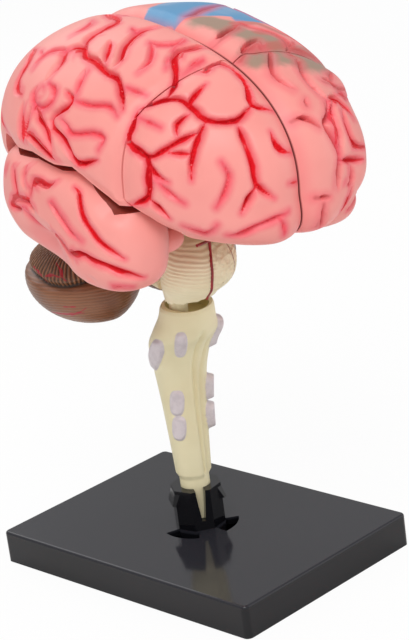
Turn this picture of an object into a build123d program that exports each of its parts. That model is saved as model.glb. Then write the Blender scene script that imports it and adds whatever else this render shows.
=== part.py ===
from build123d import *
import os
import numpy as np

# Take-apart brain model on a stand. Millimetres, +Z up, origin under the middle of the base.
# The brain is drawn in its own frame (X to its left, Y to its back, Z up, origin at its
# middle) and then stood on the stem, turned and leaning forward a little.

# Base and socket
base_length = 101.0          # along Y
base_width = 69.2            # along X
base_height = 9.8
base_wall = 2.2
base_corner = 1.8            # upright corner radius
base_edge = 0.8              # round along the top edge
socket_across = 14.0         # octagon, flat to flat
socket_height = 12.7         # above the base top
socket_turn = -34.0          # direction of the pair of jaws
lip_height = 4.6
lip_reach = 1.3
lip_half_width = 4.2         # the hooks stand only on the outer side of each jaw
slit_top = 2.8
slit_bottom = 1.0
slit_depth = 9.5
window_radius = 11.4         # half-moon windows beside the socket
window_spans = ((160.0, 222.0), (266.0, 321.0))
socket_clearance = 0.1

# Stem
foot_radius = 4.4
foot_height = 22.4           # straight spigot in the socket
stem_floor = 3.6             # its lower end above the ground
stem_top = -50.0             # in the brain frame
cup_radius = 6.3
cup_depth = 3.0
peg_radius = 2.7
peg_length = 9.0
peg_offset = -2.9            # the peg hangs under the right half
peg_clearance = 0.1
# height, half width, half depth, backward shift of each section of the stem
stem_sections = (
    (-50.0, 8.0, 6.9, 0.0),
    (-54.0, 8.6, 7.3, 0.4),
    (-59.0, 10.0, 7.8, 2.0),
    (-64.0, 9.7, 7.6, 4.7),
    (-72.0, 8.1, 6.8, 5.3),
    (-83.0, 6.8, 5.9, 4.5),
    (-95.0, 6.0, 5.3, 3.0),
    (-104.5, 5.4, 5.0, 1.9),
)
# height, side angle, half height, half width, rise of each raised pad
stem_pads = (
    (-61.5, 335.0, 5.2, 3.0, 2.6),
    (-65.5, 184.0, 7.4, 3.4, 0.6),
    (-61.0, 236.0, 5.4, 2.8, 0.5),
    (-80.3, 224.0, 4.8, 3.1, 0.5),
    (-89.0, 224.0, 4.8, 3.1, 0.5),
    (-76.5, 332.0, 4.8, 2.6, 2.0),
    (-85.0, 332.0, 4.8, 2.6, 2.0),
)
pad_root = 1.5

# Stance of the brain on the stem
lean_height = 22.0
lean_forward = 7.5
turn_on_base = -11.0
brain_over_foot = (-1.3, 109.6)   # forward shift and height of its middle

# Cerebrum
half_width = 43.0
front_length = 58.0
rear_length = 52.5
top_height = 33.0
low_front = 18.5
low_rear = 23.5
roundness = 2.35
front_taper = 0.15
orbital_drop = 8.0           # how far the lower front swells beyond the plain form
orbital_start = 35.0         # forward of the middle
orbital_full = 52.0
orbital_width = 42.0
orbital_rise = 16.0
fissure_gap = 0.4            # between the two hemispheres
fissure_dip = 2.2
fissure_band = 7.0           # degrees
sulcus_deep = 2.5
sulcus_soft = 1.6
sulcus_half_width = 4.3      # degrees of the map
cerebrum_rings = 25

# Temporal lobe: middle, half sizes, upward tilt of its rear end
temporal_middle = (-31.6, -0.5, -14.6)
temporal_half = (13.6, 32.3)
temporal_low = 13.2
temporal_high = 21.5
temporal_roundness = 2.5
temporal_tilt = 8.7
temporal_rings = 12
temporal_sulcus_half_width = 7.0

# Parting lines, in the side view (Y, Z)
seam_gap = 0.5
sylvian_gap = 1.3
far = 80.0
frontal_seam = [(-29, 31), (-28, 26), (-26.5, 20), (-27, 13), (-27.5, 6), (-28, 0)]
sylvian_line = [(-38, -9), (-34, -4.5), (-30, -2), (-26, -2.5), (-23, -0.5), (-19, 1.5), (-15, 3.5),
                (-11, 5), (-4, 4), (7, 4.5), (16, 3), (22, 4), (28, 3), (32, -2.5), (33.3, -9), (32.5, -17)]

# Core of each hemisphere
slab_depth = 17.5            # reach of the inner slab to the side
core_depth = 24.3            # reach of the outer slab
core_clearance = 0.3
slab_outline = [(-36, 7), (-37, -4), (-33, -11.5), (-24, -15.5), (-15, -17), (-9, -13.5), (9.5, -13.5),
                (14, -17), (24, -18), (31, -14), (33, -6), (33, 9), (26, 15), (-20, 15), (-28, 10)]
core_outline = [(-24, -9), (29, -9), (31, 7), (25, 13.5), (-19, 13.5), (-24, 8)]
lobe_peg_radius = 1.8
lobe_peg_length = 7.0
inner_fit = 0.15

# Cerebellum
cerebellum_middle = (-15.5, 28.0, -46.3)
cerebellum_half = (16.6, 20.7, 12.2)
folia_count = 9
folia_depth = 0.035
cerebellum_turns = 18
vermis_rise = 6.0
peduncle_radius = 1.6

# Brain stem
# height, half width, half depth, backward shift
pons_sections = (
    (-48.6, 7.0, 5.6, -1.2),
    (-45.0, 8.4, 6.9, -2.8),
    (-41.0, 10.6, 8.6, -5.6),
    (-37.0, 11.4, 9.3, -6.8),
    (-32.0, 11.2, 9.2, -6.6),
    (-27.5, 9.4, 7.6, -4.4),
    (-23.0, 6.7, 6.2, -0.4),
    (-10.3, 5.9, 5.6, 1.0),
)
pons_ridge = 0.35
pons_ridge_pitch = 2.6

# Sulci of a hemisphere on its map: degrees backward and upward from the side pole
deep_sulci = {
    "central": [(-9, 80), (-7, 71), (-10, 63), (-14, 56), (-19, 50), (-20, 46)],
    "central_hook": [(-1, 58), (-7, 53), (-11, 49), (-14, 46)],
    "intraparietal": [(-35, 30), (-33, 33), (-29, 38), (-24, 42), (-18, 43), (-12, 45), (-6, 47),
                      (2, 47), (9, 50), (14, 47), (14, 43), (10, 40), (9, 32)],
    "postcentral": [(9, 50), (15, 57), (16, 63), (20, 69), (27, 71), (35, 70), (44, 67), (54, 64)],
    "supramarginal": [(-5, 32), (-10, 30), (-10, 27), (-5, 23), (-6, 19), (-14, 16), (-21, 10), (-30, 13)],
    "angular": [(-9, 10), (-6, 14), (-1, 18), (4, 20), (9, 23)],
    "lateral_branch": [(-11, 8), (-4, 10), (3, 12), (10, 13)],
    "occipital_fork": [(16, 22), (15, 17), (13, 9)],
    "occipital_front": [(10, 23), (10, 17), (11, 9)],
    "occipital_side": [(21, 23), (26, 23), (30, 25), (32, 30), (36, 33), (46, 35)],
    "occipital_rear": [(60, 40), (52, 30), (56, 16), (50, 2)],
    "occipital_low": [(30, 6), (40, 10), (48, 14), (56, 16)],
    "precentral_high": [(-50, 70), (-45, 64), (-41, 60), (-42, 55), (-46, 49), (-49, 41), (-48, 35)],
    "precentral_low": [(-40, 31), (-40, 25), (-40, 20), (-47, 16), (-48, 10), (-48, 3), (-42, -1)],
    "frontal_high": [(-81, 33), (-74, 35), (-72, 43), (-69, 49), (-65, 53), (-60, 55), (-57, 52),
                     (-57, 49), (-53, 50)],
    "frontal_middle": [(-74, 35), (-70, 29), (-62, 29), (-56, 34), (-52, 36), (-47, 35), (-40, 31)],
    "frontal_pole": [(-70, 28), (-73, 21), (-75, 14), (-76, 8), (-80, 3)],
    "frontal_pole_branch": [(-76, 8), (-73, -1)],
    "frontal_side": [(-62, 29), (-61, 24), (-60, 18), (-60, 10)],
    "frontal_low": [(-61, 25), (-56, 22), (-51, 18), (-47, 16), (-40, 20)],
    "frontal_edge": [(-79, 25), (-80, 21), (-86, 18)],
    "orbital_branch": [(-48, 3), (-54, -3)],
}
soft_sulci = {
    "parietal_high": [(-7, 70), (0, 71), (6, 72)],
    "parietal_arc": [(-22, 65), (-28, 59), (-32, 52), (-31, 46)],
    "parietal_patch": [(-34, 74), (-34, 68), (-28, 65)],
    "parietal_bar": [(-33, 28), (-28, 31), (-20, 30), (-11, 30)],
    "parietal_drop": [(-6, 43), (-8, 37), (-11, 31)],
    "parietal_shelf": [(-29, 16), (-30, 20), (-25, 21), (-16, 19), (-8, 23)],
    "parietal_ring": [(9, 32), (3, 31), (1, 27), (4, 24), (10, 23)],
    "occipital_arch": [(15, 46), (20, 45), (26, 42), (28, 37), (27, 32)],
    "occipital_arch_end": [(28, 38), (36, 38)],
    "occipital_high": [(30, 50), (31, 56), (35, 59), (43, 60)],
    "frontal_leaf": [(-67, 17), (-69, 10), (-66, 1)],
    "frontal_leaf_low": [(-50, 9), (-54, 5), (-58, 2)],
    "orbital_front": [(-84, -4), (-81, -7), (-73, -10)],
    "orbital_rear": [(-66, -5), (-63, -9), (-57, -6)],
    "occipital_base": [(46, -8), (60, -16), (70, -30)],
    "occipital_base_side": [(62, 4), (70, -6), (72, -18)],
    "parietal_crest": [(30, 82), (36, 76), (50, 74), (62, 62)],
}
# Sulci of a temporal lobe on its own map
temporal_sulci = {
    "temporal_high": [(-37, 54), (-43, 51), (-48, 44), (-54, 35), (-61, 27), (-66, 21), (-73, 15), (-77, 12)],
    "temporal_arch": [(22, 23), (18, 38), (17, 45), (9, 48), (-6, 50), (-12, 53), (-17, 57)],
    "temporal_rear": [(50, 37), (51, 33), (45, 25), (43, 18), (49, 8), (52, -1)],
    "temporal_rear_bar": [(49, 9), (33, 20), (22, 23), (8, 22)],
    "temporal_middle": [(-13, 38), (-23, 35), (-37, 27), (-47, 20), (-56, 16)],
    "temporal_low": [(-22, 13), (-26, 9), (-41, 4), (-50, -1), (-58, 6), (-65, 5), (-72, 4), (-79, 1)],
    "temporal_base": [(34, 9), (19, 0), (7, -6)],
}


def map_direction(u, v):
    """Direction of a map point on the right side, from degrees backward and upward."""
    away = np.radians(np.hypot(u, v))
    around = np.arctan2(v, u)
    return np.stack([-np.cos(away), np.sin(away) * np.cos(around), np.sin(away) * np.sin(around)], -1)


def path_distance(points, path):
    """Distance of each map point to a path, and the nearest point on it."""
    best = np.full(len(points), 1e9)
    nearest = np.zeros_like(points)
    path = np.array(path, float)
    for start, end in zip(path[:-1], path[1:]):
        run = end - start
        share = np.clip((points - start) @ run / (run @ run), 0, 1)
        foot = start + share[:, None] * run
        gap = np.hypot(*(points - foot).T)
        closer = gap < best
        best[closer] = gap[closer]
        nearest[closer] = foot[closer]
    return best, nearest


def disc_mesh(rings):
    """Points and triangles of a round map of 90 degrees, with 6 more points on each ring."""
    points = [(0.0, 0.0)]
    for ring in range(1, rings + 1):
        reach = 90.0 * ring / rings
        for step in range(6 * ring):
            turn = 2 * np.pi * step / (6 * ring)
            points.append((reach * np.cos(turn), reach * np.sin(turn)))
    triangles = []
    for ring in range(1, rings + 1):
        outer, inner = 1 + 3 * ring * (ring - 1), 1 + 3 * (ring - 1) * (ring - 2)
        for sector in range(6):
            for step in range(ring):
                low = outer + sector * ring + step
                high = outer + (sector * ring + step + 1) % (6 * ring)
                if ring == 1:
                    triangles.append((0, low, high))
                    continue
                near = inner + (sector * (ring - 1) + step) % (6 * (ring - 1))
                triangles.append((near, low, high))
                if step < ring - 1:
                    beyond = inner + (sector * (ring - 1) + step + 1) % (6 * (ring - 1))
                    triangles.append((near, high, beyond))
    return np.array(points), triangles


def snap_to_paths(points, paths, reach, fixed_from):
    """Points close to a path move onto it, so that each groove has a clean floor."""
    gaps, feet = zip(*(path_distance(points, path) for path in paths))
    gaps, feet = np.array(gaps), np.array(feet)
    choice = gaps.argmin(0)
    row = np.arange(len(points))
    move = (gaps[choice, row] < reach) & (np.hypot(*points.T) < fixed_from)
    snapped = points.copy()
    snapped[move] = feet[choice, row][move]
    return snapped


def groove_depth(points, paths, depth, width):
    """Depth of the rounded grooves along the paths at each map point."""
    total = np.zeros(len(points))
    for path in paths:
        gap = path_distance(points, path)[0] / width
        total = np.maximum(total, depth * np.clip(1 - gap ** 2, 0, 1) ** 1.5)
    return total


def faceted_solid(points, triangles, caps=()):
    """Closed solid from triangles, and flat caps given as loops of points."""
    corners = [Vector(*point) for point in points]
    faces = [Face(Wire.make_polygon([corners[i] for i in triangle])) for triangle in triangles]
    faces += [Face(Wire.make_polygon([corners[i] for i in loop])) for loop in caps]
    solid = Solid(Shell(faces))
    if solid.volume < 0:
        solid = Solid(Shell([-face for face in faces]))
    return solid


def eased(share):
    """Smooth rise from 0 to 1."""
    share = np.clip(share, 0, 1)
    return share * share * (3 - 2 * share)


def cerebrum_radius(direction):
    """Distance from the middle of the brain to the smooth outside, in a direction."""
    x, y, z = np.abs(direction[..., 0]), direction[..., 1], direction[..., 2]
    length = np.where(y < 0, front_length, rear_length)
    low = low_front + (low_rear - low_front) * np.clip(0.5 + 1.2 * y, 0, 1)
    height = np.where(z > 0, top_height, low)
    width = half_width * (1 - front_taper * np.clip(-y, 0, 1) ** 1.5)
    total = (x / width) ** roundness + (np.abs(y) / length) ** roundness + (np.abs(z) / height) ** roundness
    reach = total ** (-1 / roundness)
    swelling = (eased((-y * reach - orbital_start) / (orbital_full - orbital_start))
                * eased(-z * reach / orbital_rise) * (1 - eased(x * reach / orbital_width)))
    return reach + orbital_drop * swelling


def make_hemisphere():
    """Right half of the cerebrum with its gyri and sulci, flat on the middle plane."""
    points, triangles = disc_mesh(cerebrum_rings)
    paths = list(deep_sulci.values()) + list(soft_sulci.values())
    spacing = 90.0 / cerebrum_rings
    points = snap_to_paths(points, paths, 0.45 * spacing, 90 - 0.5 * spacing)
    sunk = np.maximum(groove_depth(points, deep_sulci.values(), sulcus_deep, sulcus_half_width),
                      groove_depth(points, soft_sulci.values(), sulcus_soft, sulcus_half_width))
    edge = np.clip((np.hypot(*points.T) - 90 + fissure_band) / fissure_band, 0, 1)
    sunk = np.maximum(sunk, fissure_dip * edge ** 2)
    direction = map_direction(points[:, 0], points[:, 1])
    direction[-6 * cerebrum_rings:, 0] = 0
    surface = direction * (cerebrum_radius(direction) - sunk)[:, None]
    rim = list(range(len(points) - 6 * cerebrum_rings, len(points)))
    return faceted_solid(surface, triangles, [rim])


def temporal_radius(direction):
    """Distance from the middle of a temporal lobe to its smooth outside."""
    height = np.where(direction[:, 2] > 0, temporal_high, temporal_low)
    width = np.full(len(direction), temporal_half[0])
    length = np.full(len(direction), temporal_half[1])
    share = (np.abs(direction) / np.stack([width, length, height], -1)) ** temporal_roundness
    return share.sum(-1) ** (-1 / temporal_roundness)


def make_temporal_body():
    """Right temporal lobe before it is cut: relief outside, plain on the inner side."""
    points, triangles = disc_mesh(temporal_rings)
    spacing = 90.0 / temporal_rings
    paths = list(temporal_sulci.values())
    points = snap_to_paths(points, paths, 0.42 * spacing, 90 - 0.5 * spacing)
    sunk = groove_depth(points, paths, sulcus_deep, temporal_sulcus_half_width)
    around = 6 * temporal_rings
    for reach in (115.0, 148.0):
        turn = 2 * np.pi * np.arange(around) / around
        start = len(points)
        loop = np.stack([reach * np.cos(turn), reach * np.sin(turn)], -1)
        points = np.vstack([points, loop])
        for step in range(around):
            after = (step + 1) % around
            triangles.append((start - around + step, start + step, start + after))
            triangles.append((start - around + step, start + after, start - around + after))
    last = len(points) - around
    points = np.vstack([points, [(180.0, 0.0)]])
    triangles += [(last + step, len(points) - 1, last + (step + 1) % around) for step in range(around)]
    sunk = np.concatenate([sunk, np.zeros(len(points) - len(sunk))])
    direction = map_direction(points[:, 0], points[:, 1])
    surface = direction * (temporal_radius(direction) - sunk)[:, None]
    tilt = np.radians(temporal_tilt)
    y, z = surface[:, 1].copy(), surface[:, 2].copy()
    surface[:, 1] = y * np.cos(tilt) - z * np.sin(tilt)
    surface[:, 2] = y * np.sin(tilt) + z * np.cos(tilt)
    return faceted_solid(surface + np.array(temporal_middle), triangles)


def side_prism(outline, near, deep):
    """Solid over an outline of the side view, between two distances to the right."""
    return extrude(Plane.YZ.offset(-near) * outline, -(deep - near))


def side_face(points):
    return make_face(Polyline(*points, close=True))


def grown(face, amount):
    return offset(face, amount, kind=Kind.INTERSECTION)


def oval(middle, half):
    return Pos(*middle) * Ellipse(*half)


def side_peg(y, z, start, length, radius):
    """Round peg pointing to the right side."""
    return Pos(-start, y, z) * Rot(0, -90, 0) * Cylinder(radius, length, align=(Align.CENTER, Align.CENTER, Align.MIN))


def largest(shape):
    return max(shape.solids(), key=lambda solid: solid.volume)


# Outlines shared by the lobes
frontal_face = side_face([(-far, far), (frontal_seam[0][0], far)] + frontal_seam
                         + [point for point in reversed(sylvian_line[:3])] + [(-38, -far), (-far, -far)])
temporal_face = side_face(sylvian_line + [(30, -far), (-38, -far)])
slab_face = side_face(slab_outline)
core_face = side_face(core_outline)
core_room = (side_prism(grown(slab_face, core_clearance), -1, slab_depth + core_clearance)
             + side_prism(grown(core_face, core_clearance), -1, core_depth + core_clearance))
beside_fissure = Pos(-far / 2 - fissure_gap / 2, 0, 0) * Box(far, 3 * far, 3 * far)

frontal_peg = (-32.0, 2.0)
parietal_pegs = ((-12.0, 9.5), (19.0, 8.5))
temporal_pegs = ((-6.0, -4.5), (16.0, -4.5))


def lobe_holes():
    """Holes for the pegs of the core, a little wider and deeper than the pegs."""
    radius = lobe_peg_radius + peg_clearance
    length = lobe_peg_length + 0.6
    holes = side_peg(*frontal_peg, slab_depth - 0.5, length + 0.5, radius)
    for spot in parietal_pegs + temporal_pegs:
        holes += side_peg(*spot, core_depth - 0.5, length + 0.5, radius)
    return holes


def make_lobes():
    """Frontal, parieto-occipital and temporal lobe of the right side."""
    hemisphere = largest(make_hemisphere() & beside_fissure)
    room = core_room + lobe_holes()
    below = side_prism(temporal_face, -1, far)
    front = side_prism(frontal_face, -1, far)
    seam = side_prism(grown(frontal_face, seam_gap), -1, far)
    frontal = largest((hemisphere & front) - below - room)
    parietal = largest(hemisphere - seam - below - room)
    inside = side_prism(grown(temporal_face, -sylvian_gap), 1, far)
    temporal = largest((make_temporal_body() & inside) - room - hippocampus_form(inner_fit))
    return frontal, parietal, temporal


def callosum_face(margin):
    """Arch of the corpus callosum in the side view, open below."""
    ring = oval((2, 0), (24 + margin, 11.5 + margin)) - oval((2, -1), (20 - margin, 8 - margin))
    rear = oval((22.5, 1), (3.4 + margin, 3.4 + margin))
    front = oval((-19, 1), (3 + margin, 3.6 + margin))
    cut = Pos(2, -15) * Rectangle(60, 30)
    return (ring - cut) + rear + front


def arch_face(half, thickness, margin):
    ring = oval((3, -1), (half[0] + margin, half[1] + margin))
    ring -= oval((3, -1), (half[0] - thickness - margin, half[1] - thickness - margin))
    return ring - Pos(3, -16) * Rectangle(60, 30 - 2 * margin)


def hippocampus_form(margin):
    """Curved hippocampus in the inner side of the temporal lobe."""
    curve = oval((2, -26), (20 + margin, 13 + margin)) - oval((2, -28), (17 - margin, 10 - margin))
    curve &= Pos(2, -26 + 20 + 1.5 - margin) * Rectangle(34 + 2 * margin, 40)
    reach = 1.0 if margin == 0 else 6.0
    return side_prism(curve, 21 - reach, 26 + margin)


inner_start = fissure_gap / 2
arch_half = (14.6, 7.3)


def inner_pieces():
    """Right-hand pieces that sit in the pockets of the core, and the pockets."""
    forms = {
        "corpus_callosum": (callosum_face, inner_start, 6.0),
        "fornix": (lambda margin: arch_face(arch_half, 2.6, margin), inner_start, 3.4),
        "caudate_nucleus": (lambda margin: arch_face(arch_half, 3.6, margin), 3.7, 8.5),
        "thalamus": (lambda margin: oval((3.5, -2.6), (8.2 + margin, 4.4 + margin)), inner_start, 8.0),
    }
    pieces, pockets = {}, []
    for name, (outline, start, end) in forms.items():
        pieces[name] = side_prism(outline(0), start, end)
        pockets.append(side_prism(outline(inner_fit), -1, end + inner_fit))
    edge = pieces["thalamus"].faces().sort_by(Axis.X)[-1].edges()
    pieces["thalamus"] = fillet(edge, 1.8)
    lens = lambda margin: oval((3, 1.5), (13 + margin, 5.6 + margin))
    pieces["lentiform_nucleus"] = side_prism(lens(0), core_depth - 5.6, core_depth)
    pockets.append(side_prism(lens(inner_fit), core_depth - 5.6 - inner_fit, core_depth + 1))
    pieces["hippocampus"] = side_prism(
        oval((2, -26), (20, 13)) - oval((2, -28), (17, 10)) & Pos(2, -4.5) * Rectangle(34, 40), 21, 26)
    return pieces, pockets


midbrain_half = 6.3
tenon_top = -7.6
tenon_front, tenon_back = -5.5, 7.5
cross_peg_radius = 1.5
cross_peg_length = 4.5
cross_peg_place = (1.0, -10.4)


def make_core(pockets):
    """Right core: two slabs with pegs for the lobes and pockets for the inner pieces."""
    core = side_prism(slab_face, inner_start, slab_depth) + side_prism(core_face, inner_start, core_depth)
    core += side_peg(*frontal_peg, slab_depth - 1, lobe_peg_length + 1, lobe_peg_radius)
    for spot in parietal_pegs + temporal_pegs:
        core += side_peg(*spot, core_depth - 1, lobe_peg_length + 1, lobe_peg_radius)
    for pocket in pockets:
        core -= pocket
    core -= side_prism(side_face([(-16.3, -30), (-16.3, -11.6), (-8.6, -11.6), (-8.6, -30)]), -1, 4.9)
    notch = side_face([(tenon_front - inner_fit, -30), (tenon_front - inner_fit, tenon_top + inner_fit),
                       (tenon_back + inner_fit, tenon_top + inner_fit), (tenon_back + inner_fit, -30)])
    core -= side_prism(notch, -1, midbrain_half + inner_fit)
    core -= side_peg(*cross_peg_place, 5.0, cross_peg_length + 2.0, cross_peg_radius + peg_clearance)
    return largest(core)


def make_cerebellum():
    """Right half of the cerebellum with level folia, flat on the middle plane."""
    bands = 2 * folia_count
    width, length, height = cerebellum_half
    points, triangles = [(0.0, 0.0, -height)], []
    for band in range(1, bands):
        level = -np.pi / 2 + np.pi * band / bands
        swell = 1 - (folia_depth if band % 2 else 0) - (0.05 if band == folia_count else 0)
        for step in range(cerebellum_turns):
            turn = 2 * np.pi * step / cerebellum_turns
            points.append((width * np.cos(level) * np.cos(turn) * swell,
                           length * np.cos(level) * np.sin(turn) * swell, height * np.sin(level)))
    points.append((0.0, 0.0, height))
    top = len(points) - 1
    for step in range(cerebellum_turns):
        after = (step + 1) % cerebellum_turns
        triangles.append((0, 1 + after, 1 + step))
        triangles.append((top, top - cerebellum_turns + step, top - cerebellum_turns + after))
        for band in range(bands - 2):
            low = 1 + band * cerebellum_turns
            high = low + cerebellum_turns
            triangles.append((low + step, low + after, high + after))
            triangles.append((low + step, high + after, high + step))
    points = np.array(points)
    rise = vermis_rise * np.exp(-((points[:, 0] - width) / 12) ** 2) * np.clip(points[:, 2] / height, 0, 1)
    points[:, 2] += rise
    body = faceted_solid(points + np.array(cerebellum_middle), triangles)
    x, y, z = cerebellum_middle
    half = body & Pos(-30 - 0.25, y, z) * Box(60, 60, 60)
    hole = Pos(*peduncle_start) * Rot(-90, 0, 0) * Cylinder(
        peduncle_radius + peg_clearance, peduncle_length + 0.6, align=(Align.CENTER, Align.CENTER, Align.MIN))
    return largest(half - hole)


peduncle_start = (-6.5, 2.0, -43.0)
peduncle_length = 14.5


def ellipse_sections(sections):
    return [Pos(0, shift, height) * Ellipse(width, depth) for height, width, depth, shift in sections]


def section_at(sections, height):
    """Half width, half depth and shift between the listed heights."""
    rows = sorted(sections)
    heights = [row[0] for row in rows]
    return [float(np.interp(height, heights, [row[i] for row in rows])) for i in (1, 2, 3)]


def make_brain_stem():
    """Ridged pons and medulla with the tenon above and the peduncle pegs behind."""
    low, high = pons_sections[0][0], pons_sections[-2][0]
    count = int((high - low) / pons_ridge_pitch) * 2
    ribs = []
    for step in range(count + 1):
        height = low + (high - low) * step / count
        width, depth, shift = section_at(pons_sections, height)
        rise = pons_ridge if step % 2 else -pons_ridge
        ribs.append(Pos(0, shift, height) * Ellipse(width + rise, depth + rise))
    body = loft(ribs, ruled=True)
    neck = loft([ribs[-1]] + ellipse_sections(pons_sections[-1:]), ruled=True)
    tenon = Pos(0, (tenon_front + tenon_back) / 2, (tenon_top - 12) / 2) * Box(
        2 * midbrain_half, tenon_back - tenon_front, tenon_top + 12)
    stem = body + neck + tenon
    peduncle = Pos(*peduncle_start) * Rot(-90, 0, 0) * Cylinder(
        peduncle_radius, peduncle_length, align=(Align.CENTER, Align.CENTER, Align.MIN))
    cross = side_peg(*cross_peg_place, 5.0, cross_peg_length + 1.3, cross_peg_radius)
    pin = Pos(peg_offset, 0, low + 2) * Cylinder(
        peg_radius, peg_length + 2, align=(Align.CENTER, Align.CENTER, Align.MAX))
    side = Pos(-30, 0, 0) * Box(60, 200, 200)
    right = largest((stem & side) + peduncle + cross + pin)
    left = largest((stem & mirror(side, Plane.YZ)) + mirror(peduncle, Plane.YZ) + mirror(cross, Plane.YZ))
    return right, left


def make_arteries():
    """Basilar artery up the front of the pons, and the arterial circle with its branches."""
    radius = 0.6
    branch_radius = 0.5
    spine = [(0, section_at(pons_sections, height)[2] - section_at(pons_sections, height)[1] - 1.1, height)
             for height in (-47.0, -42.0, -37.0, -32.0, -28.0)]
    spine.append((0, -13.2, -24.5))
    path = Spline(*spine)
    tube = sweep(Plane(origin=path @ 0, z_dir=path % 0) * Circle(radius), path)
    ring = Pos(0, -17.5, -22.5) * Torus(5.0, radius)
    parts = tube + ring + Pos(0, -13.2, -23.8) * Sphere(1.0)
    for side in (-1, 1):
        for start, end in (((3.6, -14.2, -22.5), (11, -10, -22.0)), ((3.4, -21, -22.5), (11.5, -24, -21.5)),
                           ((1.2, -22.3, -22.5), (1.8, -30, -21.0))):
            a, b = Vector(side * start[0], *start[1:]), Vector(side * end[0], *end[1:])
            run = b - a
            limb = Plane(origin=a, z_dir=run) * Cylinder(
                branch_radius, run.length, align=(Align.CENTER, Align.CENTER, Align.MIN))
            parts += limb
            parts += Pos(b.X, b.Y, b.Z) * Sphere(branch_radius)
    return largest(parts)


def make_optic_chiasm():
    """Crossing of the optic nerves under the frontal lobes."""
    cross = Pos(0, -19.5) * Rectangle(4.4, 4.0)
    for side in (-1, 1):
        cross += Pos(side * 3.6, -24.6) * Rot(0, 0, side * 30) * Rectangle(2.4, 12)
        cross += Pos(side * 3.2, -15.2) * Rot(0, 0, -side * 30) * Rectangle(2.2, 9)
    return largest(extrude(Pos(0, 0, -18.9) * cross, 1.6))


def make_hypothalamus():
    """Floor of the brain between the cores, with the pituitary below it."""
    return fillet((Pos(0, -12.5, -14.65) * Box(9, 7, 5.3)).edges().filter_by(Axis.Z), 1.5)


def smooth_sections(sections, pitch):
    """More sections between the listed ones, on a smooth curve through them."""
    rows = np.array(sections, float)
    rows = np.vstack([2 * rows[0] - rows[1], rows, 2 * rows[-1] - rows[-2]])
    dense = []
    for before, start, end, after in zip(rows, rows[1:], rows[2:], rows[3:]):
        count = max(1, int(round(abs(end[0] - start[0]) / pitch)))
        for step in range(count):
            t = step / count
            curve = (start + 0.5 * t * (end - before)
                     + t ** 2 * (before - 2.5 * start + 2 * end - 0.5 * after)
                     + t ** 3 * (1.5 * (start - end) + 0.5 * (after - before)))
            curve[0] = start[0] + t * (end[0] - start[0])
            dense.append(tuple(curve))
    return dense + [tuple(rows[-2])]


def make_stem():
    """Stem from the straight spigot in the socket to the cup under the pons."""
    column = loft(ellipse_sections(smooth_sections(stem_sections, 2.8)), ruled=True)
    for height, side, half_height, half_pad, pad_rise in stem_pads:
        width, depth, shift = section_at(stem_sections, height)
        turn = np.radians(side)
        spot = ((width - pad_root) * np.cos(turn), shift + (depth - pad_root) * np.sin(turn), height)
        column += Pos(*spot) * Rot(0, 0, side) * scale(Sphere(1), (pad_root + pad_rise, half_pad, half_height))
    column -= Pos(0, 0, stem_top - cup_depth) * Cylinder(
        cup_radius, 20, align=(Align.CENTER, Align.CENTER, Align.MIN))
    hole_floor = pons_sections[0][0] - peg_length - 0.6
    column -= Pos(peg_offset, 0, hole_floor) * Cylinder(
        peg_radius + peg_clearance, 20, align=(Align.CENTER, Align.CENTER, Align.MIN))
    column = stance * column
    top_of_foot = stem_floor + foot_height
    spigot = Pos(0, 0, stem_floor) * Cylinder(foot_radius, foot_height, align=(Align.CENTER, Align.CENTER, Align.MIN))
    lowest = stance * ellipse_sections(stem_sections)[-1]
    joint = loft([Pos(0, 0, top_of_foot - 0.5) * Circle(foot_radius), lowest], ruled=True)
    return largest(column + spigot + joint)


def make_base():
    """Base tray with the two-jaw socket moulded on, and windows beside it."""
    tray = extrude(RectangleRounded(base_width, base_length, base_corner), base_height)
    tray = fillet(tray.edges().group_by(Axis.Z)[-1], base_edge)
    hollow = extrude(RectangleRounded(base_width - 2 * base_wall, base_length - 2 * base_wall,
                                      base_corner - 1), base_height - base_wall)
    tray -= hollow
    across = socket_across / 2 / np.cos(np.pi / 8)
    eight = Rot(0, 0, 22.5) * RegularPolygon(across, 8)
    post = extrude(eight, base_height + socket_height - lip_height)
    wide = Rot(0, 0, 22.5) * RegularPolygon(across + lip_reach, 8)
    lip_base = base_height + socket_height - lip_height
    lip = loft([Pos(0, 0, lip_base) * wide, Pos(0, 0, base_height + socket_height) * (
        Rot(0, 0, 22.5) * RegularPolygon(across - 0.4, 8))], ruled=True)
    jaws = Pos(0, 0, lip_base) * Box(40, 2 * lip_half_width, 40, align=(Align.CENTER, Align.CENTER, Align.MIN))
    core_top = extrude(eight, base_height + socket_height)
    collet = post + (lip & jaws) + core_top
    top = base_height + socket_height
    slit = [(-slit_top / 2, top + 1), (-slit_top / 2, top - 1), (-slit_bottom / 2, top - slit_depth),
            (slit_bottom / 2, top - slit_depth), (slit_top / 2, top - 1), (slit_top / 2, top + 1)]
    collet -= extrude(Plane.XZ.offset(-20) * make_face(Polyline(*slit, close=True)), 40)
    windows = []
    for low, high in window_spans:
        outer = [(window_radius * np.cos(np.radians(a)), window_radius * np.sin(np.radians(a)))
                 for a in (low, (low + high) / 2, high)]
        face = make_face([Line((0, 0), outer[0]), ThreePointArc(*outer), Line(outer[-1], (0, 0))])
        windows.append(extrude(Pos(0, 0, -1) * face, base_height + 2))
    for window in windows:
        tray -= window
    bore = Pos(0, 0, stem_floor - 0.6) * Cylinder(
        foot_radius + socket_clearance, 60, align=(Align.CENTER, Align.CENTER, Align.MIN))
    return largest(tray + Rot(0, 0, socket_turn) * collet - bore)


stance = (Pos(0, 0, lean_height) * Rot(0, 0, turn_on_base) * Rot(lean_forward, 0, 0)
          * Pos(0, brain_over_foot[0], brain_over_foot[1]))


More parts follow.
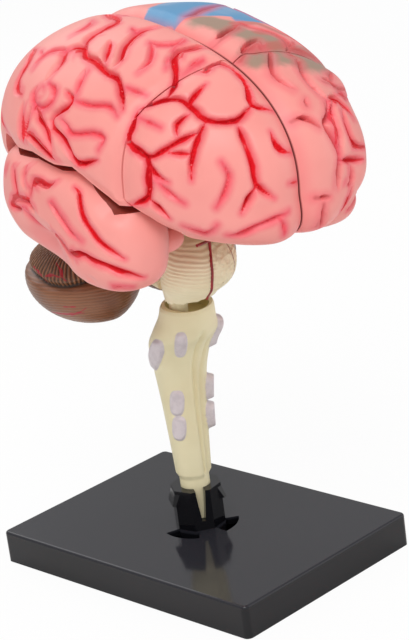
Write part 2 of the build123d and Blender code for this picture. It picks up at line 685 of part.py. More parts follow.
def build():
    parts = {}
    parts["base_plate"] = make_base()
    parts["spinal_stem"] = make_stem()
    brain = {}
    brain["brain_stem_right"], brain["brain_stem_left"] = make_brain_stem()
    brain["arterial_circle"] = make_arteries()
    brain["optic_chiasm"] = make_optic_chiasm()
    brain["hypothalamus"] = make_hypothalamus()
    pieces, pockets = inner_pieces()
    right = dict(pieces)
    right["frontal_lobe"], right["parieto_occipital_lobe"], right["temporal_lobe"] = make_lobes()
    right["hemisphere_core"] = make_core(pockets)
    right["cerebellum"] = make_cerebellum()
    for name, piece in right.items():
        brain[name + "_right"] = piece
        brain[name + "_left"] = mirror(piece, Plane.YZ)
    for name, piece in brain.items():
        parts[name] = stance * piece
    return parts


os.makedirs("parts", exist_ok=True)
for name, piece in build().items():
    export_step(piece, f"parts/{name}.step")
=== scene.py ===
import math
import bpy
import numpy as np
from mathutils import Matrix, Vector


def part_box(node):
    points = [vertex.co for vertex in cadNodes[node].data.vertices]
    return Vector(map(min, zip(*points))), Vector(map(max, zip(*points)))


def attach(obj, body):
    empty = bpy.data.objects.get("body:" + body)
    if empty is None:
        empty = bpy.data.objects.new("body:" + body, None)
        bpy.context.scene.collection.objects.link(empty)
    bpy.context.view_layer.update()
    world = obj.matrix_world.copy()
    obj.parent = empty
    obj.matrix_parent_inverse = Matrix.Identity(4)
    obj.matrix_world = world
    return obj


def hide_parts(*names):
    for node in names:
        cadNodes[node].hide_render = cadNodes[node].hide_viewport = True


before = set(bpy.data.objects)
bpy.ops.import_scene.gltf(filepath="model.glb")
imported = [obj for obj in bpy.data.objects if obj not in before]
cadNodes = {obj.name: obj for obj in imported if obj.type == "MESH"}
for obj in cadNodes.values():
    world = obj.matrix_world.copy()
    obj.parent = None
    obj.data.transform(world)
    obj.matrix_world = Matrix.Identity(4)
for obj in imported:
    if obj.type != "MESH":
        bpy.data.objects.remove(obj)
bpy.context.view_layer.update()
print("frame loaded,", len(cadNodes), "nodes")

# The brain is drawn in its own frame in millimetres: X to its left, Y to its back, Z up.
# standUp() puts a drawn point where the stem carries it, in metres.
stance = {"height": 22.0, "lean": 7.5, "turn": -11.0, "middle": (0.0, -1.3, 109.6)}
leaning = Matrix.Rotation(math.radians(stance["lean"]), 3, "X")
turned = np.array(Matrix.Rotation(math.radians(stance["turn"]), 3, "Z") @ leaning)


def standUp(points):
    moved = (np.asarray(points, float) + stance["middle"]) @ turned.T
    return (moved + (0, 0, stance["height"])) / 1000


def srgb(red, green, blue):
    shares = [value / 255 for value in (red, green, blue)]
    return tuple(s / 12.92 if s <= 0.04045 else ((s + 0.055) / 1.055) ** 2.4 for s in shares) + (1.0,)


class Signal:  # a socket that takes part in sums
    def __init__(self, nodes, socket):
        self.nodes, self.socket = nodes, socket

    def _sum(self, operation, *values):
        return self.nodes.add("ShaderNodeMath", {"operation": operation}, dict(enumerate(values)))

    def __add__(self, other): return self._sum("ADD", self, other)
    def __radd__(self, other): return self._sum("ADD", other, self)
    def __sub__(self, other): return self._sum("SUBTRACT", self, other)
    def __rsub__(self, other): return self._sum("SUBTRACT", other, self)
    def __mul__(self, other): return self._sum("MULTIPLY", self, other)
    def __rmul__(self, other): return self._sum("MULTIPLY", other, self)
    def __pow__(self, other): return self._sum("POWER", self, other)
    def __abs__(self): return self._sum("ABSOLUTE", self)
    def cosine(self): return self._sum("COSINE", self)
    def top(self, other): return self._sum("MAXIMUM", self, other)

    def between(self, low, high):  # smooth rise from 0 at low to 1 at high
        return self.nodes.add("ShaderNodeMapRange", {"interpolation_type": "SMOOTHSTEP"},
                              {0: self, 1: low, 2: high, 3: 0.0, 4: 1.0})


class Nodes:  # a node tree, to which every node is added in one way
    def __init__(self, tree):
        self.tree = tree

    def add(self, kind, settings=None, sockets=None, output=0):
        node = self.tree.nodes.new(kind)
        for key, value in (settings or {}).items():
            setattr(node, key, value)
        for key, value in (sockets or {}).items():
            self.feed(node.inputs[key], value)
        return Signal(self, node.outputs[output])

    def feed(self, socket, value):  # with a link or a plain value
        if isinstance(value, Signal):
            self.tree.links.new(value.socket, socket)
        else:
            socket.default_value = value

    def seen(self):  # 1 on a ray from the camera, also behind something clear
        direct = self.add("ShaderNodeLightPath", output="Is Camera Ray")
        return direct.top(self.add("ShaderNodeLightPath", output="Is Transmission Ray"))


class Paint(Nodes):  # a material and its nodes
    def __init__(self, name, **fixed):
        self.material = bpy.data.materials.new(name)
        self.material.use_nodes = True
        super().__init__(self.material.node_tree)
        self.shader = self.tree.nodes["Principled BSDF"]
        self.finish(**fixed)
        self.place = self.add("ShaderNodeTexCoord", output="Object")

    def noise(self, scale, detail=3.0, stretch=None):
        where = self.place
        if stretch:
            where = self.add("ShaderNodeMapping", None, {"Vector": where, "Scale": stretch})
        return self.add("ShaderNodeTexNoise", {"noise_dimensions": "3D"},
                        {"Vector": where, "Scale": scale, "Detail": detail, "Roughness": 0.55})

    def spots(self, scale):
        return self.add("ShaderNodeTexVoronoi", {"feature": "F1"}, {"Vector": self.place, "Scale": scale})

    def measure(self, name):  # a value kept at the mesh's points
        return self.add("ShaderNodeAttribute", {"attribute_name": name}, output="Fac")

    def mix(self, share, first, second):
        return self.add("ShaderNodeMix", {"data_type": "RGBA"}, {0: share, 6: first, 7: second}, output=2)

    def bump(self, height, distance, strength):
        return self.add("ShaderNodeBump", None,
                        {"Height": height, "Distance": distance, "Strength": strength})

    def finish(self, **values):  # what the shader's sockets get, with _ for a space in their names
        for name, value in values.items():
            self.feed(self.shader.inputs[name.replace("_", " ")], value)
        return self.material


class Shaping(Nodes):  # a Geometry Nodes tree with a named input for each size
    def __init__(self, name, sizes):
        super().__init__(bpy.data.node_groups.new(name, "GeometryNodeTree"))
        sockets = self.tree.interface
        sockets.new_socket(name="Geometry", in_out="INPUT", socket_type="NodeSocketGeometry")
        for size, value in sizes.items():
            made = sockets.new_socket(name=size, in_out="INPUT", socket_type="NodeSocketFloat")
            made.default_value = value
        sockets.new_socket(name="Finish", in_out="INPUT", socket_type="NodeSocketMaterial")
        sockets.new_socket(name="Geometry", in_out="OUTPUT", socket_type="NodeSocketGeometry")
        self.into = self.tree.nodes.new("NodeGroupInput")

    def given(self, name):
        return Signal(self, self.into.outputs[name])

    def kept(self, name):  # a value kept at the mesh's points
        return self.add("GeometryNodeInputNamedAttribute", {"data_type": "FLOAT"}, {"Name": name},
                        "Attribute")

    def grain(self):  # noise with a seed of its own for each piece
        return self.add("ShaderNodeTexNoise", {"noise_dimensions": "4D"},
                        {"Scale": self.given("Grain"), "W": self.given("Seed")}, "Fac")

    def finish(self, shape):
        real = self.add("GeometryNodeRealizeInstances", None, {0: shape})
        coat = self.add("GeometryNodeSetMaterial", None, {"Geometry": real, "Material": self.given("Finish")})
        self.feed(self.tree.nodes.new("NodeGroupOutput").inputs[0], coat)
        return self.tree


cerebrum = {
    "halfWidth": 43.0, "front": 58.0, "rear": 52.5, "top": 33.0, "lowFront": 18.5, "lowRear": 23.5,
    "roundness": 2.35, "frontTaper": 0.15, "gap": 0.4, "edgeDip": 3.2, "edgeBand": 9.0, "rings": 176,
    "orbital": {"drop": 8.0, "start": 35.0, "full": 52.0, "width": 42.0, "rise": 16.0},
}
temporal = {
    "middle": (-31.6, -0.5, -14.6), "half": (13.6, 32.3), "low": 13.2, "high": 21.5,
    "roundness": 2.5, "tilt": 8.7, "rings": 112,
    "innerRings": (91, 93, 95, 98, 102, 108, 116, 126, 138, 152, 168),  # degrees, on the plain inner side
    "knob": {"middle": (-16.5, -17.0, -20.7), "half": (5.2, 3.6, 3.3)},
}
# Each kind of groove is a narrow crease in a broad valley, in millimetres: (depth, reach).
relief = {
    "deep": {"narrow": (1.0, 1.2), "broad": (2.9, 7.0), "brush": 0.55},
    "soft": {"narrow": (0.4, 1.4), "broad": (2.1, 6.0), "brush": 0.4},
    "plain": {"narrow": (1.1, 1.1), "broad": (3.0, 7.0), "brush": 0.0},
    "puff": 0.8, "search": 10.0, "fullness": 0.985, "settled": 0.65,
    "ends": {"depth": 0.35, "stroke": 0.1, "run": 6.0},
    # how much a groove loses where it is seen at a slant, about which slant, and over which spread of it
    "slant": {"loss": 0.5, "about": 0.1, "spread": 0.25, "whole": 0.25, "least": 0.55},
}
stroke = {
    "wobble": 0.22, "beat": 0.8, "offbeat": 1.7, "unpainted": 6.0,
    "slant": {"from": 0.75, "over": 0.2, "hidden": 0.1, "search": 4.0, "spread": 1.6},
}
wideBrush = {"precentralLow": 0.8, "frontalSpur": 0.7, "parietalPatchEnd": 0.9, "occipitalFork": 0.8,
             "lateralBranch": 0.7, "angular": 0.7, "low": 0.7, "archIn": 0.45, "poleBand": 0.7,
             "poleFold": 0.5, "polePit": 0.6, "frontalEdge": 0.8, "precentralHigh": 0.7}
readPoint = np.array([-312.0, -473.0, 209.0])  # where the grooves were looked at from, in the brain's frame
outOfReach = 9.0  # the distance that stands for being far from a line

# Grooves of the right side on its map, in degrees backward and upward from the side pole.
deepGrooves = {
    "central": [(-9, 80), (-7, 71), (-10, 63), (-14, 56), (-19, 50), (-20, 46)],
    "centralHook": [(-1, 58), (-7, 53), (-11, 49), (-14, 46)],
    "intraparietal": [(-35, 30), (-33, 33), (-29, 38), (-24, 42), (-18, 43), (-12, 45), (-6, 47),
                      (2, 47), (9, 50), (14, 47), (14, 43), (10, 40), (9, 32)],
    "postcentral": [(9, 50), (15, 57), (16, 63), (20, 69), (27, 71), (35, 70), (44, 67), (54, 64)],
    "postcentralStub": [(10, 50), (15, 56), (12, 60)],
    "supramarginal": [(-5, 32), (-10, 30), (-10, 27), (-5, 23), (-6, 19), (-14, 16), (-21, 10), (-30, 13)],
    "angular": [(-9, 10), (-6, 14), (-1, 18), (4, 20), (9, 23)],
    "lateralBranch": [(-11, 8), (-4, 10), (3, 12), (10, 13)],
    "occipitalFork": [(16, 22), (15, 17), (13, 9)],
    "occipitalFront": [(10, 23), (10, 17), (11, 9)],
    "occipitalSide": [(21, 23), (26, 23), (30, 25), (32, 30), (36, 33), (46, 35)],
    "occipitalRear": [(60, 40), (52, 30), (56, 16), (50, 2)],
    "occipitalLow": [(30, 6), (40, 10), (48, 14), (56, 16)],
    "precentralHigh": [(-50, 70), (-45, 64), (-41, 60), (-42, 55), (-46, 49), (-49, 41), (-48, 35)],
    "precentralLow": [(-40, 31), (-40, 25), (-40, 20), (-47, 16), (-48, 10), (-48, 3), (-42, -1)],
    "frontalHigh": [(-81, 33), (-74, 35), (-72, 43), (-69, 49), (-65, 53), (-60, 55), (-57, 52),
                    (-57, 49), (-53, 50)],
    "frontalMiddle": [(-74, 35), (-70, 29), (-62, 29), (-56, 34), (-52, 36), (-47, 35), (-40, 31)],
    "frontalLoop": [(-59, 43), (-57, 38), (-56, 34), (-59, 32), (-62, 29)],
    "frontalPole": [(-70, 28), (-73, 21), (-75, 14), (-76, 8), (-80, 3)],
    "frontalPoleBranch": [(-76, 8), (-72, -1)],
    "frontalSide": [(-62, 29), (-61, 24), (-60, 18), (-60, 10)],
    "frontalLow": [(-61, 25), (-56, 22), (-51, 18), (-47, 16), (-40, 20)],
    "frontalTwig": [(-57, 31), (-54, 27), (-55, 23)],
    "frontalSpur": [(-60, 18), (-53, 18)],
    "frontalHook": [(-47, 16), (-50, 11), (-54, 9)],
    "frontalEdge": [(-79, 25), (-81, 20), (-83, 18), (-86, 17)],
    "frontalNick": [(-88, 6), (-84, 7)],
    "orbitalBranch": [(-48, 3), (-54, -3)],
}
softGrooves = {
    "parietalHigh": [(-7, 70), (0, 71), (6, 72)],
    "parietalArc": [(-22, 65), (-28, 59), (-32, 52), (-31, 46)],
    "parietalPatch": [(-34, 74), (-34, 68), (-28, 65), (-19, 66)],
    "parietalPatchEnd": [(-34, 68), (-36, 63)],
    "parietalBar": [(-33, 28), (-28, 31), (-20, 30), (-11, 30)],
    "parietalDrop": [(-6, 43), (-8, 37), (-11, 31)],
    "parietalShelf": [(-29, 16), (-30, 20), (-25, 21), (-16, 19), (-12, 21), (-8, 23)],
    "parietalRing": [(9, 32), (3, 31), (1, 27), (4, 24), (10, 23), (14, 26), (13, 30)],
    "parietalNotch": [(-40, 37), (-31, 39)],
    "frontalNotch": [(-41, 50), (-38, 57)],
    "frontalShade": [(-49, 26), (-40, 29)],
    "frontalRise": [(-52, 60), (-50, 54), (-49, 49)],
    "occipitalArch": [(15, 46), (20, 45), (26, 42), (28, 37), (27, 32)],
    "occipitalArchEnd": [(28, 38), (36, 38)],
    "occipitalHigh": [(30, 50), (31, 56), (35, 59), (43, 60)],
    "frontalLeaf": [(-67, 16), (-69, 12), (-69, 9), (-68, 5), (-66, 1)],
    "frontalLeafLow": [(-50, 9), (-54, 5), (-58, 2)],
    "orbitalFront": [(-68, -9), (-71, -9), (-75, -7), (-81, -5), (-84, -4)],
    "orbitalTwig": [(-81, -5), (-82, -8), (-82, -13)],
    "orbitalRear": [(-66, -5), (-63, -9), (-57, -6)],
    "occipitalBase": [(46, -8), (60, -16), (70, -30)],
    "occipitalBaseSide": [(62, 4), (70, -6), (72, -18)],
    "parietalCrest": [(30, 82), (36, 76), (50, 74), (62, 62)],
}
# The strip of the left side that shows beside the fissure has its own grooves.
leftDeep = {
    "poleLine": [(-69, 27), (-65, 25), (-64, 23), (-62, 19), (-61, 14)],
    "poleBand": [(-68, 25), (-72, 22), (-74, 18), (-76, 13), (-77, 10)],
    "poleFold": [(-66, 21), (-69, 17), (-70, 12), (-68, 8), (-58, 3)],
    "poleRing": [(-78, 8), (-74, 6), (-65, 2)],
    "polePit": [(-74, 5), (-74, 1), (-75, -2), (-77, -2)],
    "poleLow": [(-74, -3), (-75, -7), (-77, -11), (-77, -15)],
}
leftPlain = {  # deep but not painted red; the colour along them is painted shade
    "crown": [(-50, 76), (-47, 73), (-43, 72), (-36, 68), (-30, 64)],
    "upperLoop": [(-66, 60), (-60, 61), (-53, 60), (-49, 57), (-54, 54)],
    "outerHook": [(-55, 52), (-69, 48), (-74, 43), (-75, 37)],
    "outerHookEnd": [(-78, 30), (-76, 32)],
    "middleRun": [(-56, 45), (-57, 41), (-65, 38), (-69, 33), (-70, 27)],
    "lowerRun": [(-61, 32), (-58, 29), (-57, 26), (-46, 19)],
    "lowerTwig": [(-47, 28), (-57, 28)],
    "motorRun": [(-25, 63), (-32, 58), (-33, 51), (-38, 46), (-45, 44), (-42, 39), (-37, 32)],
    "motorTwig": [(-36, 42), (-50, 45), (-55, 44)],
    "step": [(-85, 28), (-83, 28), (-81, 26), (-80, 22)],
    "stripEdge": [(-70, 27), (-74, 23), (-77, 22), (-78, 20), (-78, 15), (-78, 10), (-80, 5), (-81, -1)],
    "stripEnd": [(-84, -3), (-88, -2)],
    "orbital": [(-86, -5), (-86, -9), (-85, -15)],
    "outline": [(-48, 17), (-51, 14), (-54, 10), (-57, 5)],
    "blueFurrow": [(-5, 84), (-3, 79), (4, 71), (9, 61), (14, 50), (16, 42)],
}
leftKept = ("precentralLow", "frontalLow", "orbitalBranch")
temporalDents = (  # map place, depth and reach of what is pressed into the lower edge
    ((16, -26), 2.8, 7.0), ((-6, -27), 3.2, 7.0), ((-28, -28), 1.8, 6.0), ((-34, -22), 0.9, 2.2),
    ((-50, -34), 1.0, 3.0), ((-61, -19), 1.4, 2.6), ((34, -28), 1.2, 6.0),
)
leftKnobs = (  # map place, rise and reach of what bulges past the plain form
    ((-58, 5), 2.0, 9.0), ((-64, -4), 1.8, 7.0), ((-43, 22), 1.4, 6.0), ((17, 49), 1.2, 10.0),
)
leftPatches = {
    "blue": {"outline": [(-4, 89), (-3, 79), (-8, 68), (-10, 62), (-19, 63), (-16, 56), (-13, 44), (-8, 36),
                         (10, 34), (30, 38), (38, 55), (37, 77), (36, 89)]},
    "taupe": {"width": 5.2, "lines": [
        [(-15, 76), (-25, 70), (-34, 66), (-40, 60), (-42, 54), (-44, 48), (-46, 42), (-40, 34)],
        [(-60, 56), (-56, 50), (-52, 46)], [(-54, 42), (-46, 36), (-38, 30)]]},
    "brick": {"width": 1.7, "lines": [
        [(-24, 64), (-16, 53)], [(-55, 58), (-48, 53), (-42, 47)], [(-35, 57), (-33, 51), (-38, 46)],
        [(-18, 52), (-26, 45), (-22, 35), (-34, 35)], [(3, 74), (12, 58)]]},
}
temporalGrooves = {
    "high": [(-37, 54), (-43, 51), (-48, 44), (-54, 35), (-61, 27), (-66, 21), (-73, 15), (-77, 12)],
    "arch": [(22, 23), (18, 38), (17, 45), (9, 48), (-6, 50), (-12, 53), (-17, 57)],
    "archIn": [(32, 53), (33, 43), (30, 36), (26, 34)],
    "rear": [(50, 37), (51, 33), (45, 25), (43, 18), (49, 8), (52, -1), (35, 9)],
    "rearBar": [(52, 8), (33, 20), (22, 23), (8, 22)],
    "low": [(-22, 13), (-26, 9), (-41, 4), (-50, -1), (-58, 6), (-65, 5), (-72, 4), (-79, 1), (-85, -2)],
    "lowTwig": [(-52, 1), (-53, -5)],
    "lowSpur": [(-26, 9), (-17, -2)],
}
temporalSoft = {
    "middle": [(-13, 38), (-23, 35), (-37, 27), (-47, 20), (-56, 16)],
    "tip": [(-72, -16), (-76, -12), (-81, -13)],
    "base": [(34, 9), (19, 0), (7, -6)],
    "baseRear": [(64, 22), (70, 8), (66, -6)],
}


def sideDirection(u, v):
    away, around = np.radians(np.hypot(u, v)), np.arctan2(v, u)
    return np.stack([-np.cos(away), np.sin(away) * np.cos(around), np.sin(away) * np.sin(around)], -1)


def eased(share):
    share = np.clip(share, 0, 1)
    return share * share * (3 - 2 * share)


def cerebrumSurface(direction):
    c, o = cerebrum, cerebrum["orbital"]
    x, y, z = np.abs(direction[..., 0]), direction[..., 1], direction[..., 2]
    length = np.where(y < 0, c["front"], c["rear"])
    low = c["lowFront"] + (c["lowRear"] - c["lowFront"]) * np.clip(0.5 + 1.2 * y, 0, 1)
    height = np.where(z > 0, c["top"], low)
    width = c["halfWidth"] * (1 - c["frontTaper"] * np.clip(-y, 0, 1) ** 1.5)
    n = c["roundness"]
    reach = ((x / width) ** n + (np.abs(y) / length) ** n + (np.abs(z) / height) ** n) ** (-1 / n)
    swelling = (eased((-y * reach - o["start"]) / (o["full"] - o["start"]))
                * eased(-z * reach / o["rise"]) * (1 - eased(x * reach / o["width"])))
    return direction * (reach + o["drop"] * swelling)[..., None]


def temporalSurface(direction):
    c = temporal
    height = np.where(direction[..., 2] > 0, c["high"], c["low"])
    sizes = np.stack([np.full(height.shape, c["half"][0]), np.full(height.shape, c["half"][1]), height], -1)
    n = c["roundness"]
    reach = ((np.abs(direction) / sizes) ** n).sum(-1) ** (-1 / n)
    return direction * reach[..., None]


def smoothLine(points, pitch=1.5):  # a curve through the points, cut into short runs
    rows = np.array(points, float)
    rows = np.vstack([2 * rows[0] - rows[1], rows, 2 * rows[-1] - rows[-2]])
    line = []
    for before, start, end, after in zip(rows, rows[1:], rows[2:], rows[3:]):
        count = max(2, int(np.linalg.norm(end - start) / pitch))
        for t in np.arange(count)[:, None] / count:
            line.append(start + 0.5 * t * (end - before)
                        + t ** 2 * (before - 2.5 * start + 2 * end - 0.5 * after)
                        + t ** 3 * (1.5 * (start - end) + 0.5 * (after - before)))
    return np.array(line + [rows[-2]])


def lineGap(points, line, reach=outOfReach, worth=None):
    # distance to a line, how far along it the nearer end is, and the line's worth there
    gap, ends = np.full(len(points), reach), np.zeros(len(points))
    share = np.ones(len(points))
    near = np.flatnonzero(((points > line.min(0) - reach) & (points < line.max(0) + reach)).all(1))
    if worth is None:
        worth = np.ones(len(line))
    if not len(near):
        return gap, ends, share
    spots, best, along = points[near], np.full(len(near), reach), np.zeros(len(near))
    there = np.ones(len(near))
    steps = np.linalg.norm(np.diff(line, axis=0), axis=1)
    passed = 0.0
    for start, end, step, low, high in zip(line[:-1], line[1:], steps, worth[:-1], worth[1:]):
        run = end - start
        part = np.clip((spots - start) @ run / (run @ run), 0, 1)
        away = np.linalg.norm(spots - start - part[:, None] * run, axis=1)
        closer = away < best
        best[closer] = away[closer]
        along[closer] = (passed + part * step)[closer]
        there[closer] = (low + part * (high - low))[closer]
        passed += step
    gap[near], share[near] = best, there
    ends[near] = np.minimum(along, passed - along)
    return gap, ends, share


def unit(rows):
    return rows / np.linalg.norm(rows, axis=-1, keepdims=True)


def slantWorth(facing):  # grooves seen at a slant are shallow
    slant = relief["slant"]
    return 1 - slant["loss"] * np.exp(-((facing - slant["about"]) / slant["spread"]) ** 2)


def settle(line, surface, eye, depth):  # moved so that a floor below the form shows where the line was read
    direction, probe = unit(line), 0.02
    aside = np.cross(direction, (0.0, 0.0, 1.0))
    above = np.cross(aside, direction)
    right, left, up, down = [surface(unit(direction + probe * way)) for way in (aside, -aside, above, -above)]
    normal = unit(np.cross(right - left, up - down))
    normal = normal * np.sign((normal * direction).sum(1))[:, None]
    towards = unit(eye - line)
    facing = (normal * towards).sum(1)
    share = np.clip(facing / relief["slant"]["whole"], 0, 1) * depth * slantWorth(facing)
    least = np.maximum(facing, relief["slant"]["least"])
    moved = line + share[:, None] * (normal - towards / least[:, None])
    return surface(unit(moved)), facing


def grooveFields(smooth, surface, groups, eye):  # groups of (kind, named lines)
    total, seen, atEnds = np.zeros(len(smooth)), [], relief["ends"]
    for kind, paths in groups:
        (deep, deepReach), (broad, broadReach) = relief[kind]["narrow"], relief[kind]["broad"]
        for number, (name, path) in enumerate(paths.items()):
            read = lineOnMap(path, surface, 2.4)
            line, facing = settle(read, surface, eye, relief["settled"] * (deep + broad - relief["puff"]))
            gap, ends, facing = lineGap(smooth, line, relief["search"], facing)
            taper = np.clip(atEnds["depth"] + ends / atEnds["run"], 0, 1) * slantWorth(facing)
            crease = deep * np.clip(1 - (gap / deepReach) ** 2, 0, 1) ** 1.5
            shoulder = relief["fullness"] * np.clip(1 - gap / broadReach, 0, 1)
            total += (taper * (crease + broad * (1 - np.sqrt(1 - shoulder ** 2)))) ** 4
            wave = np.sin(ends * stroke["beat"] + number * stroke["offbeat"])
            width = wideBrush.get(name, relief[kind]["brush"]) * (1 + stroke["wobble"] * wave)
            width = width * np.clip(atEnds["stroke"] + ends / atEnds["run"], 0, 1)
            seen.append((kind, read, gap, width, facing))
    sunk = total ** 0.25 - relief["puff"]
    return sunk, strokeFields(smooth - unit(smooth) * sunk[:, None], seen, eye)


def strokeFields(points, seen, eye):  # a brush stroke keeps its width where it is seen at a slant
    slant = stroke["slant"]
    paint = {kind: np.full(len(points), stroke["unpainted"]) for kind in ("deep", "soft", "plain")}
    distance = np.linalg.norm(eye)
    flat = distance * unit(points - eye)
    for kind, read, gap, width, facing in seen:
        share = np.clip((slant["from"] - facing) / slant["over"], 0, 1)
        share = share * np.clip((facing - slant["hidden"]) / slant["hidden"], 0, 1)
        near = np.flatnonzero((gap < slant["search"]) & (share > 0))
        if len(near):
            across = lineGap(flat[near], distance * unit(read - eye), stroke["unpainted"])[0]
            across = np.maximum(across, gap[near] - slant["spread"])
            gap[near] += share[near] * (across - gap[near])
        np.minimum(paint[kind], gap - width, out=paint[kind])
    return paint


def newObject(name, points, faces, materials=(), edges=()):
    mesh = bpy.data.meshes.new(name)
    mesh.from_pydata(np.asarray(points, float).tolist(), edges, faces)
    mesh.update()
    for material in materials:
        mesh.materials.append(material)
    made = bpy.data.objects.new(name, mesh)
    bpy.context.scene.collection.objects.link(made)
    return made


def meshPoints(made):
    points = np.zeros(len(made.data.vertices) * 3)
    made.data.vertices.foreach_get("co", points)
    return points.reshape(-1, 3)


def setPoints(made, points):
    made.data.vertices.foreach_set("co", np.asarray(points, np.float32).ravel())
    made.data.update()


def keepValue(made, name, values):
    field = made.data.attributes.new(name, "FLOAT", "POINT")
    field.data.foreach_set("value", np.asarray(values, np.float32))


def discGrid(rings):  # points of a round map of 90 degrees, and its triangles
    points, faces = [(0.0, 0.0)], []
    for ring in range(1, rings + 1):
        turn = 2 * np.pi * np.arange(6 * ring) / (6 * ring)
        reach = 90.0 * ring / rings
        points.extend(zip(reach * np.cos(turn), reach * np.sin(turn)))
        outer, inner = 1 + 3 * ring * (ring - 1), 1 + 3 * (ring - 1) * (ring - 2)
        for sector in range(6):
            for step in range(ring):
                low = outer + sector * ring + step
                high = outer + (sector * ring + step + 1) % (6 * ring)
                if ring == 1:
                    faces.append((0, low, high))
                    continue
                near = inner + (sector * (ring - 1) + step) % (6 * (ring - 1))
                faces.append((near, low, high))
                if step < ring - 1:
                    faces.append((near, high, inner + (sector * (ring - 1) + step + 1) % (6 * (ring - 1))))
    return np.array(points), faces


def skinOver(name, rows, materials=()):  # rows of points wound round an axis, closed at both ends
    rows = np.asarray(rows, float)
    count, around = rows.shape[:2]
    points = rows.reshape(-1, 3)
    faces = []
    for row in range(count - 1):
        for step in range(around):
            after = (step + 1) % around
            low, high = row * around, (row + 1) * around
            faces.append((low + step, low + after, high + after, high + step))
    faces.append(tuple(reversed(range(around))))
    faces.append(tuple(range((count - 1) * around, count * around)))
    return newObject(name, points, faces, materials)


def prism(outline, near, deep, name="cutter"):  # solid over a side outline, towards the right
    outline = np.asarray(outline, float)
    area = np.cross(outline, np.roll(outline, -1, axis=0)).sum()
    if area < 0:
        outline = outline[::-1]
    count = len(outline)
    points = [(-near, y, z) for y, z in outline] + [(-deep, y, z) for y, z in outline]
    faces = [tuple(range(count)), tuple(reversed(range(count, 2 * count)))]
    for step in range(count):
        after = (step + 1) % count
        faces.append((after, step, step + count, after + count))
    return newObject(name, points, faces)


def rod(start, along, radius, length, name="cutter", sides=32):
    axis = Vector(along).normalized()
    side = axis.orthogonal().normalized()
    across = axis.cross(side)
    turn = 2 * np.pi * np.arange(sides) / sides
    ring = np.outer(np.cos(turn), side) + np.outer(np.sin(turn), across)
    rows = [np.array(start) + radius * ring + np.array(axis) * reach for reach in (0.0, length)]
    return skinOver(name, rows)


def block(low, high, name="cutter"):
    outline = [(low[1], low[2]), (high[1], low[2]), (high[1], high[2]), (low[1], high[2])]
    return prism(outline, -high[0], -low[0], name)


def carve(target, cutters, operation="DIFFERENCE"):
    for cutter in cutters:
        modifier = target.modifiers.new("carve", "BOOLEAN")
        modifier.object, modifier.operation, modifier.solver = cutter, operation, "MANIFOLD"
        modifier.material_mode = "TRANSFER"
        graph = bpy.context.evaluated_depsgraph_get()
        carved = bpy.data.meshes.new_from_object(target.evaluated_get(graph))
        target.modifiers.clear()
        old, target.data = target.data, carved
        bpy.data.meshes.remove(old)
        bpy.data.objects.remove(cutter)
    return target


def grow(outline, amount):  # the outline moved outwards, corners kept sharp
    points = np.asarray(outline, float)
    if np.cross(points, np.roll(points, -1, axis=0)).sum() < 0:
        points = points[::-1]
    moved = []
    for before, spot, after in zip(np.roll(points, 1, axis=0), points, np.roll(points, -1, axis=0)):
        first, second = spot - before, after - spot
        first, second = first / np.linalg.norm(first), second / np.linalg.norm(second)
        outward = np.array([first[1] + second[1], -first[0] - second[0]])
        outward /= max(0.25, 1 + first @ second)
        moved.append(spot + amount * outward)
    return np.array(moved)


def dress(made, node, body, smoothAngle=40.0):
    made.data.shade_smooth()
    made.data.set_sharp_from_angle(angle=math.radians(smoothAngle))
    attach(made, body)
    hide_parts(node)
    return made


def roundBody(name, middle, half, materials, around=48, rows=28):  # closed rounded lump
    levels = np.linspace(-np.pi / 2, np.pi / 2, rows + 2)[1:-1]
    turn = 2 * np.pi * np.arange(around) / around
    ring = np.stack([np.cos(turn), np.sin(turn), np.zeros(around)], -1)
    rounds = [np.array(middle) + (ring * np.cos(level) + (0, 0, np.sin(level))) * half for level in levels]
    return skinOver(name, rounds, materials)


parting = {
    "seamGap": 0.5, "sylvianGap": 2.3, "far": 80.0,
    "frontalSeam": [(-29, 31), (-28, 26), (-26.5, 20), (-27, 13), (-27.5, 6), (-28, 0)],
    "sylvian": [(-38, -9), (-34, -4.5), (-30, -2), (-26, -2.5), (-23, -0.5), (-19, 1.5), (-15, 3.5),
                (-11, 5), (-4, 4), (7, 4.5), (16, 3), (22, 4), (28, 3), (32, -2.5), (33.3, -9), (32.5, -17)],
    "edgeDip": 1.3, "edgeReach": 2.3, "lipDip": 2.2, "lipReach": 3.6,
}
core = {
    "slabDepth": 17.5, "depth": 24.3, "clearance": 0.3, "pegRadius": 1.8, "pegLength": 7.0, "fit": 0.1,
    "slab": [(-36, 7), (-37, -4), (-33, -11.5), (-24, -15.5), (-15, -17), (-9, -13.5), (9.5, -13.5),
             (14, -17), (24, -18), (31, -14), (33, -6), (33, 9), (26, 15), (-20, 15), (-28, 10)],
    "outline": [(-24, -9), (29, -9), (31, 7), (25, 13.5), (-19, 13.5), (-24, 8)],
    "frontalPeg": (-32.0, 2.0), "parietalPegs": ((-12.0, 9.5), (19.0, 8.5)),
    "temporalPegs": ((-6.0, -4.5), (16.0, -4.5)),
}
far = parting["far"]
frontalOutline = ([(-far, far), (parting["frontalSeam"][0][0], far)] + parting["frontalSeam"]
                  + parting["sylvian"][2::-1] + [(-38, -far), (-far, -far)])
temporalOutline = parting["sylvian"] + [(30, -far), (-38, -far)]


def coreRoom():  # what the core and its pegs take out of a lobe
    grown, c = core["clearance"], core
    length, radius = c["pegLength"] + 1.1, c["pegRadius"] + c["fit"]
    room = [prism(grow(c["slab"], grown), -1, c["slabDepth"] + grown),
            prism(grow(c["outline"], grown), -1, c["depth"] + grown)]
    for start, spots in ((c["slabDepth"], [c["frontalPeg"]]),
                         (c["depth"], c["parietalPegs"] + c["temporalPegs"])):
        room += [rod((0.5 - start, y, z), (-1, 0, 0), radius, length) for y, z in spots]
    return room


